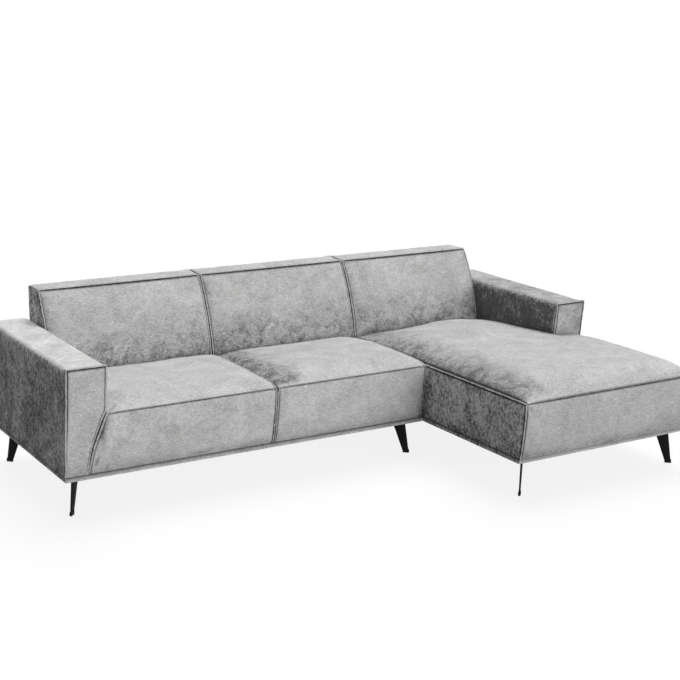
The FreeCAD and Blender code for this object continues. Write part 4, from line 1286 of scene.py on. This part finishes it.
@dataclass
class Leg:
    """A flat steel blade that flares into its mounting plate, with a moulded cap at its foot.

    The outline holds heights with the blade's inner and outer edge, the plate its inner and
    outer end, width and thickness.
    """

    thickness: float = 6.0
    outline: tuple[Triple, ...] = (
        (3, -13.5, 13.5), (54, -32.5, 6.1), (105, -51.4, -1.4), (125, -59.8, -4.3),
        (135, -66.0, -5.8), (141, -75.0, -6.7), (146, -88.0, -7.3), (150, -98.0, -8.0),
        (154, -102.0, -8.5),
    )
    plate: tuple[float, float, float, float] = (-104.5, -4.5, 56.0, 3.0)
    plate_corner: float = 6.0
    cap: Triple = (31.0, 11.0, 16.0)
    cap_corner: float = 3.5

    def blade(self) -> bpy.types.Object:
        """Return the blade at the frame's origin, its foot towards +X, with bevelled edges."""
        deselect()
        height, inner, outer = self.outline[0]
        spot = ((inner + outer) / 2 * MM, 0, height * MM)
        bpy.ops.mesh.primitive_plane_add(size=1, location=spot)
        piece = bpy.context.object
        piece.scale = ((outer - inner) * MM, self.thickness * MM, 1)
        bpy.ops.object.transform_apply(location=True, rotation=True, scale=True)
        edit(piece, "FACE", lambda face: True)
        for low, high in zip(self.outline, self.outline[1:]):
            middle = (high[1] + high[2]) / 2
            shift = (middle - (low[1] + low[2]) / 2, 0, high[0] - low[0])
            move = {"value": tuple(part * MM for part in shift)}
            bpy.ops.mesh.extrude_region_move(TRANSFORM_OT_translate=move)
            ratio = (high[2] - high[1]) / (low[2] - low[1])
            centre = (middle * MM, 0, high[0] * MM)
            bpy.ops.transform.resize(value=(ratio, 1, 1), center_override=centre)
        bpy.ops.mesh.select_all(action="SELECT")
        bpy.ops.mesh.normals_make_consistent(inside=False)
        close_edit()
        finish_with(piece, "BEVEL", width=0.0008, segments=2, limit_method="ANGLE")
        return piece

    def mount(self) -> bpy.types.Object:
        """Return the mounting plate with rounded corners."""
        inner, outer, width, thickness = self.plate
        size = (outer - inner, width, thickness)
        piece = self.box(size, ((inner + outer) / 2, 0, BASE_FOOT - thickness / 2))
        self._round_corners(piece, self.plate_corner)
        finish_with(piece, "BEVEL", width=0.0005, segments=2, limit_method="ANGLE")
        return piece

    def foot_cap(self) -> bpy.types.Object:
        """Return the cap with rounded corners and a softened sole."""
        piece = self.box(self.cap, (0, 0, self.cap[2] / 2))
        self._round_corners(piece, self.cap_corner)
        finish_with(piece, "BEVEL", width=0.0013, segments=3, limit_method="ANGLE")
        return piece

    @staticmethod
    def _round_corners(piece: bpy.types.Object, radius: float) -> None:
        """Round the upright edges of a block by a radius in millimetres."""
        edit(piece, "EDGE", lambda edge: abs(edge.verts[0].co.z - edge.verts[1].co.z) > MM)
        bpy.ops.mesh.bevel(offset=radius * MM, segments=4, affect="EDGES")
        close_edit()

    @staticmethod
    def box(size: Sequence[float], middle: Sequence[float]) -> bpy.types.Object:
        """Return a block of a size about a middle, both in millimetres from the frame's origin."""
        deselect()
        bpy.ops.mesh.primitive_cube_add(size=1, location=[part * MM for part in middle])
        piece = bpy.context.object
        piece.scale = [part * MM for part in size]
        bpy.ops.object.transform_apply(location=True, rotation=True, scale=True)
        return piece

    @staticmethod
    def stand(model: bpy.types.Object, x: float, y: float, angle: float) -> bpy.types.Object:
        """Return a copy of a model with its own mesh, stood at a foot's place.

        Args:
            model: what is copied.
            x: the foot's middle on the workshop drawing.
            y: the foot's middle on the workshop drawing.
            angle: degrees that the foot's outward side is turned from +X.

        Returns:
            The copy, in place.
        """
        piece = model.copy()
        piece.data = model.data.copy()
        bpy.context.scene.collection.objects.link(piece)
        turn = Matrix.Rotation(math.radians(angle), 4, "Z")
        piece.matrix_world = Matrix.Translation(to_frame(x, y, 0)) @ turn
        activate(piece)
        bpy.ops.object.transform_apply(location=True, rotation=True, scale=True)
        return piece


# The object

TIGHT_FILL = 1.0
SEAT_FILL = 0.9
FOOT_ANGLES = {"front_left": -135, "front_right": -45, "rear_left": 135, "rear_right": 45}
FACE_EDGES = (Rim.TOP_FRONT, Rim.FRONT_LEFT, Rim.FRONT_RIGHT, Rim.TOP_LEFT, Rim.TOP_RIGHT)
SEAT_EDGES = (
    Rim.TOP_FRONT, Rim.TOP_LEFT, Rim.TOP_RIGHT, Rim.FRONT_LEFT, Rim.FRONT_RIGHT, Rim.FOOT_FRONT,
)
PANEL_EDGES = (Rim.TOP_FRONT, Rim.FRONT_LEFT, Rim.FRONT_RIGHT, Rim.FOOT_FRONT)
ARM_EDGES = (Rim.REAR_LEFT, Rim.REAR_RIGHT, Rim.TOP_REAR)
REAR_EDGES = (Rim.TOP_REAR, Rim.REAR_LEFT, Rim.REAR_RIGHT, Rim.FOOT_REAR)
BAND_EDGES = (Rim.TOP_FRONT, Rim.TOP_REAR, Rim.TOP_LEFT, Rim.TOP_RIGHT)


@dataclass
class Module:
    """What both modules of the sofa have; a subclass makes its arm, its seats and its back.

    A band run holds the low and high corner of a strip and the side that it swells to. The
    cloth's four numbers are its left, front, right and rear edge.
    """

    looks: dict[str, bpy.types.Material]
    body: Body
    feet_x: Span
    feet_y: Span
    band_runs: tuple[tuple[Span, Span, Side], ...]
    rear_parts: tuple[float, ...]
    cloth: tuple[float, float, float, float]

    def build(self) -> None:
        """Build the whole module, its soft blocks first."""
        self.arm()
        self.seats()
        self.backs()
        self.rear_cover()
        self.band()
        self.dust_cloth()
        self.legs()

    def arm(self) -> None:
        """Build the module's arm."""
        raise NotImplementedError

    def seats(self) -> None:
        """Build the module's seats."""
        raise NotImplementedError

    def backs(self) -> None:
        """Build the sections of the module's backrest."""
        raise NotImplementedError

    def dress(
        self, piece: bpy.types.Object, slot: Slot, nodes: Sequence[str] = (), sharp: float = 40.0
    ) -> None:
        """Give a piece its finish, its body and the nodes that it stands for.

        Args:
            piece: the mesh object, in place.
            slot: the record's slot that its finish comes from.
            nodes: CAD nodes that it replaces.
            sharp: edges with a greater angle stay sharp, in degrees.
        """
        activate(piece)
        bpy.ops.object.shade_smooth_by_angle(angle=math.radians(sharp))
        if slot is Slot.COVER:
            mark_left_facing(piece)
        piece.data.materials.clear()
        piece.data.materials.append(self.looks[slot.value])
        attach(piece, self.body.value)
        if nodes:
            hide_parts(*nodes)
        deselect()
        log.info("%s: %d faces on %s", piece.name, len(piece.data.polygons), self.body.value)

    def soft(self, block: SoftBlock, nodes: Sequence[str], fill: float) -> None:
        """Args:
            block: the block.
            nodes: CAD nodes that it stands for.
            fill: how full it is, from 0 to 1; not used.
        """
        piece = block.build()
        self.dress(piece, Slot.COVER, nodes)
        tubes = [
            Welt(block.welt_path(ridge), ridge.thickness, seed=block.seed + number).build("welt")
            for number, ridge in enumerate(block.welts)
        ]
        if tubes:
            self.dress(join(tubes, f"{block.name}_welts"), Slot.COVER)

    def arm_cover(self, name: str, **values: Any) -> None:
        """Build an arm's cover.

        Args:
            name: the arm's name.
            values: fields of the cover; a setback moves its front behind the left arm's.
        """
        length = ARM_REAR - values.get("setback", 0.0) - ARM_SKIN_FRONT
        skin = ArmCover.skin
        across = (6, *around(skin, 0.6), *around(ARM_WIDTH - skin, 0.6), 169)
        along = (0.6, 1.2, *around(length - skin, 0.6))
        cover = ArmCover(
            name, self.body, (ARM_WIDTH, length, ARM_TOP - FOOT), ARM_EDGES,
            fixed=(across, along, ()), pillow=2.5, **values,
        )
        self.soft(cover, [f"{name}_cover", f"{name}_padding"], TIGHT_FILL)

    def back(self, name: str, left: float, right: float, **values: Any) -> None:
        """Build a section of the backrest.

        Args:
            name: the section's name.
            left: its left side.
            right: its right side.
            values: other fields of the section.
        """
        width, wall = right - left, BackSection.wall
        ledge = BackSection.ledge - BackSection.foot
        section = BackSection(
            name, self.body, (width, 200, BackSection.top - BackSection.foot), FACE_EDGES,
            (
                Ridge(Rim.FRONT_LEFT, 6.0, (0, -3.5, 1)),
                Ridge(Rim.FRONT_RIGHT, 6.0, (0, -3.5, 1)),
                Ridge(Rim.TOP_FRONT, 6.0, (0, -2.5, 2.5)),
            ),
            (Side.FRONT, Side.TOP),
            fixed=((*around(wall), *around(width - wall)), (), around(ledge, 1)),
            pillow=5.5, reach=11, line=2.5, left=left, right=right, **values,
        )
        self.soft(section, [f"{name}_cover", f"{name}_foam"], SEAT_FILL)

    def rear_cover(self) -> None:
        """Make the padded fabric on the rear of the backrest, in parts between upright seams."""
        panels = []
        for number, (start, end) in enumerate(zip(self.rear_parts, self.rear_parts[1:])):
            panel = Strip(
                f"rear_{number}", self.body,
                (end - start, REAR_OUTSIDE - REAR_INSIDE, REAR_TOP - FOOT), REAR_EDGES,
                coarse=30, pillow=2.0, unrest=2.0, seed=61 + number, puff=5.0, outer=Side.REAR,
                low=(start - REAR_OVERLAP, REAR_INSIDE, FOOT),
                high=(end + REAR_OVERLAP, REAR_OUTSIDE, REAR_TOP),
            )
            panels.append(panel.build())
        piece = join(panels, f"{self.body.value}_rear")
        self.dress(piece, Slot.COVER, [f"{self.body.value}_rear_cover"])

    def band(self) -> None:
        """Make the fabric band along the foot of the base."""
        strips = []
        for number, (low, high, outer) in enumerate(self.band_runs):
            strip = Strip(
                f"band_{number}", self.body,
                (high[0] - low[0], high[1] - low[1], BAND_TOP - BASE_FOOT), BAND_EDGES,
                coarse=24, pillow=0.8, line=1.2, unrest=0.5, outer=outer,
                low=(*low, BASE_FOOT), high=(*high, BAND_TOP),
            )
            strips.append(strip.build())
        piece = join(strips, f"{self.body.value}_band")
        self.dress(piece, Slot.COVER, [f"{self.body.value}_base_band"])

    def dust_cloth(self, sag: float = 4.0, thickness: float = 0.6, below: float = 0.5) -> None:
        """Stretch the dust cloth under the base.

        Args:
            sag: how far it hangs in its middle, in millimetres.
            thickness: of the cloth.
            below: how far it is let into the foot of the base.
        """
        left, front, right, rear = self.cloth
        deselect()
        bpy.ops.mesh.primitive_grid_add(x_subdivisions=60, y_subdivisions=60, size=1)
        piece = bpy.context.object
        for vertex in piece.data.vertices:
            u, v = vertex.co.x + 0.5, vertex.co.y + 0.5
            spot = to_frame(lerp(left, right, u), lerp(front, rear, v), BASE_FOOT + below)
            spot.z -= sag * MM * (math.sin(math.pi * u) * math.sin(math.pi * v)) ** 0.5
            spot.z -= 0.6 * MM * ripple(spot, 14.0)
            vertex.co = spot
        finish_with(piece, "SOLIDIFY", thickness=thickness * MM, offset=0)
        piece.name = piece.data.name = f"{self.body.value}_cloth"
        self.dress(piece, Slot.CLOTH, [f"{self.body.value}_dust_cover"])

    def legs(self) -> None:
        """Stand the four legs and their caps."""
        leg, owner = Leg(), self.body.value
        model, cap = join([leg.blade(), leg.mount()], "leg_model"), leg.foot_cap()
        caps = []
        for name, angle in FOOT_ANGLES.items():
            x = self.feet_x[1 if name.endswith("right") else 0]
            y = self.feet_y[1 if name.startswith("rear") else 0]
            piece = leg.stand(model, x, y, angle)
            piece.name = piece.data.name = f"{owner}_{name}_blade"
            self.dress(piece, Slot.LEG, [f"{owner}_{name}_leg"])
            caps.append(leg.stand(cap, x, y, angle))
        self.dress(join(caps, f"{owner}_caps"), Slot.GLIDE, [f"{owner}_leg_glides"])
        for left_over in (model, cap):
            bpy.data.objects.remove(left_over)


@dataclass
class TwoSeater(Module):
    """The module with the left arm and two seats."""

    body: Body = Body.TWO_SEATER
    feet_x: Span = (39, 1692)
    feet_y: Span = (90, 868)
    band_runs: tuple[tuple[Span, Span, Side], ...] = (
        ((0, 45), (1764.6, 50), Side.FRONT),
        ((0, 50), (BAND_THICKNESS, ARM_REAR), Side.LEFT),
        ((BAND_THICKNESS, ARM_REAR - BAND_THICKNESS), (ARM_WIDTH, ARM_REAR), Side.REAR),
        ((ARM_WIDTH, REAR_INSIDE), (1764.6, REAR_OUTSIDE), Side.REAR),
    )
    rear_parts: tuple[float, ...] = (175.8, 973, 1764.6)
    cloth: tuple[float, float, float, float] = (5, 50, 1759, 921)

    def arm(self) -> None:
        """Build the left arm and its front panel, cut along the slanted seam."""
        self.arm_cover("left_arm", side_crush=(0.45, 0.5), seed=3)
        panel = ArmPanel(
            "left_arm_panel", self.body, (ARM_WIDTH, PANEL_THICKNESS, 463), PANEL_EDGES,
            (
                Ridge(Rim.FRONT_LEFT, 7, (-2, -3.5, 0)),
                Ridge(Rim.TOP_FRONT, 4.5, (0, -2, 2)),
                Ridge(Rim.FRONT_RIGHT, 7.5, (0, -4, 0)),
            ),
            slanted=True, coarse=12, line=2.2, seed=5,
        )
        self.soft(panel, ["left_arm_front_panel"], TIGHT_FILL)

    def seats(self) -> None:
        """Build the two seats."""
        tray = around(SeatCushion.tray)
        seat_1 = SeatCushion(
            "seat_1", self.body, (782.8, 653, 290), SEAT_EDGES,
            (
                Ridge(Rim.FRONT_LEFT, 8, (0, -4, 0)),
                Ridge(Rim.FRONT_RIGHT, 5.5, (0, -4, 0)),
                Ridge(Rim.TOP_RIGHT, 6, (-1, 0, 4)),
            ),
            (Side.FRONT, Side.TOP),
            (
                Crease(Side.FRONT, (151, 356), (160, 312), 4.5, 6),
                Crease(Side.FRONT, (140, 250), (126, 214), 4.5, 6),
                Crease(Side.FRONT, (262, 412), (292, 431), 3, 6),
                Crease(Side.FRONT, (560, 188), (650, 200), 2.5, 6),
                Crease(Side.TOP, (182, 18), (230, 60), 3.5, 6),
                Crease(Side.FRONT, (178, 205), (184, 180), 3, 7),
            ),
            fixed=((), (*around(FLANGE, 0.6), *tray), ()),
            left=175.8, right=958.6, beside_arm=True, slope_shade=0.35, seed=11,
        )
        seat_2 = SeatCushion(
            "seat_2", self.body, (783.2, 653, 290), SEAT_EDGES,
            (
                Ridge(Rim.FRONT_LEFT, 5.5, (0, -4, 0)),
                Ridge(Rim.FRONT_RIGHT, 6, (0, -3.5, 0)),
                Ridge(Rim.TOP_RIGHT, 6, (-1, 0, 3.5)),
            ),
            (Side.FRONT, Side.TOP),
            (
                Crease(Side.TOP, (1490, 60), (1500, 120), 1.5, 14),
                Crease(Side.FRONT, (1716, 250), (1722, 215), 2.5, 7),
                Crease(Side.FRONT, (990, 420), (1010, 400), 2, 6),
            ),
            fixed=((), tray, ()),
            left=959.4, right=1742.6, rear_drop=14, crown=33, slope_shade=1.25, seed=17,
        )
        for seat in (seat_1, seat_2):
            self.soft(seat, [f"{seat.name}_cover", f"{seat.name}_foam"], SEAT_FILL)

    def backs(self) -> None:
        """Build the two sections of the backrest."""
        self.back("back_1", 175.8, 972.6, end_walls=(True, False), ears=(0, 7), seed=23)
        self.back("back_2", 973.4, 1764.6, end_walls=(False, True), ears=(5, 7), seed=29)


@dataclass
class Chaise(Module):
    """The module with the long seat and the right arm."""

    body: Body = Body.CHAISE
    feet_x: Span = (1794, 2673)
    feet_y: Span = (-630, 868)
    band_runs: tuple[tuple[Span, Span, Side], ...] = (
        ((1753, -666), (2712, -661), Side.FRONT),
        ((1753, -661), (1758, 42), Side.LEFT),
        ((2707, -661), (2712, ARM_REAR), Side.RIGHT),
        ((1765.4, REAR_INSIDE), (2707, REAR_OUTSIDE), Side.REAR),
    )
    rear_parts: tuple[float, ...] = (1765.4, 2536.2)
    cloth: tuple[float, float, float, float] = (1771, -661, 2697.2, 921)
    arm_left: float = 2537.0
    setback: float = 39.0

    def arm(self) -> None:
        """Build the right arm, whose front panel ends on the seat, and its skirt beside it."""
        # Deep painted shade on the inner side, which faces left, and painted shade on the top and
        # the front panel.
        self.arm_cover(
            "right_arm", left=self.arm_left, setback=self.setback, side_crush=(1.35, 0.1),
            top_pile=0.5, skirt=276, seed=37,
        )
        panel = ArmPanel(
            "right_arm_panel", self.body, (ARM_WIDTH, PANEL_THICKNESS, 362), PANEL_EDGES,
            (
                Ridge(Rim.FRONT_LEFT, 5, (-1, -2.5, 0)),
                Ridge(Rim.TOP_FRONT, 4, (0, -2, 1.5)),
                Ridge(Rim.FRONT_RIGHT, 5, (1, -2.5, 0)),
            ),
            coarse=12, left=self.arm_left, setback=self.setback, foot=278, pile=0.45, seed=41,
        )
        self.soft(panel, ["right_arm_front_panel"], TIGHT_FILL)

    def seats(self) -> None:
        """Build the long seat."""
        seat = ChaiseCushion(
            "chaise_seat", self.body, (976.6, 1375, 290),
            (*SEAT_EDGES, Rim.FOOT_LEFT, Rim.FOOT_RIGHT),
            (
                Ridge(Rim.FRONT_LEFT, 6.5, (-2.5, -3, 0)),
                Ridge(Rim.FRONT_RIGHT, 6.5, (2.5, -3, 0)),
                Ridge(Rim.TOP_LEFT, 6.5, (-2.5, 0, 2.5), (0, 0.54)),
                Ridge(Rim.TOP_RIGHT, 6.5, (2.5, 0, 2.5), (0, 0.54)),
            ),
            (Side.FRONT, Side.TOP, Side.LEFT, Side.RIGHT),
            (
                Crease(Side.FRONT, (1766, 418), (1778, 396), 3, 7),
                Crease(Side.FRONT, (1776, 300), (1786, 262), 2, 8),
                Crease(Side.FRONT, (1772, 205), (1792, 186), 2.5, 8),
                Crease(Side.LEFT, (-20, 400), (-8, 330), 3, 12),
                Crease(Side.LEFT, (10, 300), (14, 210), 3, 10),
            ),
            coarse=17,
            fixed=(
                (*around(25.5), 792.8, *around(954.1)),
                (*around(62), 748.2, 748.8, *around(757)),
                (),
            ),
            side=Profile(((0, 0.04), (30, 0.58), (75, 0.84), (170, 0.96), (320, 1.0))),
            left=1743.4, right=2720, front=-710, front_foot=-668, crown=61, bulge=10,
            front_shading=-0.05, seed=43,
        )
        self.soft(seat, ["chaise_seat_cover", "chaise_seat_foam"], SEAT_FILL)

    def backs(self) -> None:
        """Build the one section of the backrest."""
        self.back("chaise_back", 1765.4, 2536.2, end_walls=(True, True), ears=(5, 0), seed=47)


FINISHES = {
    "leg_steel": PlainFinish(
        "black_powder_coat", (0.005,) * 3, 0.3, (900,) * 3, 0.65, gloss=0.12
    ),
    "glide_plastic": PlainFinish("black_moulding", (0.006,) * 3, 0.2, (500,) * 3, 0.6, gloss=0.15),
    "dust_cloth": PlainFinish(
        "black_dust_cloth", (0.02,) * 3, 0.5, (700,) * 3, 0.95, bump=0.0006
    ),
    "frame_wood": PlainFinish("planed_softwood", (0.62, 0.45, 0.27), 0.2, (8, 90, 90), 0.6),
    "spring_steel": PlainFinish(
        "oiled_spring_wire", (0.3, 0.3, 0.31), 0.2, (300,) * 3, 0.35, metallic=1.0
    ),
    "zinc_steel": PlainFinish(
        "bright_zinc", (0.62, 0.63, 0.64), 0.15, (400,) * 3, 0.3, metallic=1.0
    ),
    "webbing": PlainFinish(
        "elastic_webbing", (0.035, 0.035, 0.038), 0.4, (60, 900, 900), 0.9, bump=0.0006
    ),
    "foam": PlainFinish("cream_foam", (0.75, 0.7, 0.5), 0.1, (400,) * 3, 0.95, bump=0.001),
}


def make_looks() -> dict[str, bpy.types.Material]:
    """Make the materials by slot and give every CAD node its own.

    Returns:
        The material of each of the record's slots.
    """
    looks = {slot: finish.make() for slot, finish in FINISHES.items()}
    looks[Slot.COVER.value] = Chenille().make()
    for entry in frame["record"]["subparts"]:
        node = frame["nodes"][entry["node"]]
        node.data.materials.clear()
        node.data.materials.append(looks[entry["material_slot"]])
    return looks


# Studio


@dataclass(frozen=True)
class Lamp:
    """A far, soft lamp: its direction from the sofa and the angle in degrees that it spans."""

    name: str
    towards: Triple
    strength: float
    softness: float

    def hang(self) -> None:
        """Hang the lamp."""
        data = bpy.data.lights.new(self.name, "SUN")
        data.energy = self.strength
        data.angle = math.radians(self.softness)
        lamp = bpy.data.objects.new(self.name, data)
        bpy.context.scene.collection.objects.link(lamp)
        lamp.location = Vector(self.towards) * 6
        lamp.rotation_euler = Vector(self.towards).to_track_quat("Z", "Y").to_euler()


@dataclass
class Studio:
    """Floor, backdrop, lamps and the camera at the photograph's view."""

    camera_place: Triple = (-3.172, -5.060, 2.044)
    yaw: float = 31.87
    pitch: float = 13.79
    roll: float = 0.837
    lens: float = 72.28
    floor_bounce: float = 0.16
    floor_shade: float = 0.14
    floor_white: float = 0.95
    ambient: float = 0.15
    lamps: tuple[Lamp, ...] = (
        Lamp("overhead", (0.28, 0.30, 0.91), 2.45, 40),
        Lamp("front_fill", (0.12, -0.98, 0.12), 2.65, 40),
        Lamp("rear_fill", (0.45, 0.85, 0.2), 1.0, 60),
    )

    def build(self) -> None:
        """Set up the whole studio."""
        self._camera()
        self._floor()
        self._world()
        for lamp in self.lamps:
            lamp.hang()
        bpy.context.scene.view_settings.view_transform = "Standard"

    def _camera(self) -> None:
        """Put the camera where the photograph was taken from."""
        yaw, pitch, roll = (math.radians(angle) for angle in (self.yaw, self.pitch, self.roll))
        level = Vector((math.sin(yaw), math.cos(yaw), 0))
        ahead = level * math.cos(pitch) - Vector((0, 0, math.sin(pitch)))
        right = Vector((level.y, -level.x, 0))
        up = right.cross(ahead)
        rolled = right * math.cos(roll) + up * math.sin(roll)
        up = up * math.cos(roll) - right * math.sin(roll)
        data = bpy.data.cameras.new("photo_view")
        data.lens = self.lens
        data.clip_end = 300
        camera = bpy.data.objects.new("photo_view", data)
        bpy.context.scene.collection.objects.link(camera)
        turn = Matrix((rolled, up, -ahead)).transposed().to_4x4()
        camera.matrix_world = Matrix.Translation(self.camera_place) @ turn
        bpy.context.scene.camera = camera

    @staticmethod
    def _seen(paint: Paint) -> Wire:
        """Return 1 for what the camera sees itself, in gloss or through glass."""
        path = paint.node("ShaderNodeLightPath", {}, {})
        sight = Wire(paint, path.outputs["Is Camera Ray"])
        for name in ("Is Glossy Ray", "Is Transmission Ray"):
            sight = sight + Wire(paint, path.outputs[name])
        return sight.clamped()

    def _floor(self) -> None:
        """Lay a plain floor that is white to the camera and keeps a light shadow."""
        deselect()
        bpy.ops.mesh.primitive_plane_add(size=400, location=(0, 0, 0))
        floor = bpy.context.object
        floor.name = floor.data.name = "studio_floor"
        paint = Paint("pale_floor", Roughness=0.9)
        seen = self._seen(paint)
        dim, bright = ((*(grey,) * 3, 1.0) for grey in (self.floor_bounce, self.floor_white))
        paint.use("Base Color", paint.mix(seen, dim, bright))
        glow = paint.wire("ShaderNodeEmission", {}, {"Color": (1, 1, 1, 1), "Strength": 1.0})
        coat = Wire(paint, paint.shader.outputs[0])
        sockets = {0: seen * (1 - self.floor_shade), 1: coat, 2: glow}
        paint.finish(paint.wire("ShaderNodeMixShader", {}, sockets))
        floor.data.materials.append(paint.material)

    def _world(self) -> None:
        """Surround the scene with soft light and a white backdrop."""
        world = bpy.data.worlds.new("studio")
        world.use_nodes = True
        bpy.context.scene.world = world
        paint = Paint("backdrop", tree=world.node_tree)
        strength = self._seen(paint) * (1 - self.ambient) + self.ambient
        sockets = {"Color": (1, 1, 1, 1), "Strength": strength}
        light = paint.wire("ShaderNodeBackground", {}, sockets)
        output = paint.node("ShaderNodeOutputWorld", {}, {})
        paint.tree.links.new(light.socket, output.inputs[0])


def main() -> None:
    """Build the studio and the sofa."""
    Studio().build()
    looks = make_looks()
    for module in (TwoSeater(looks), Chaise(looks)):
        module.build()


if __name__ == "__main__":
    main()
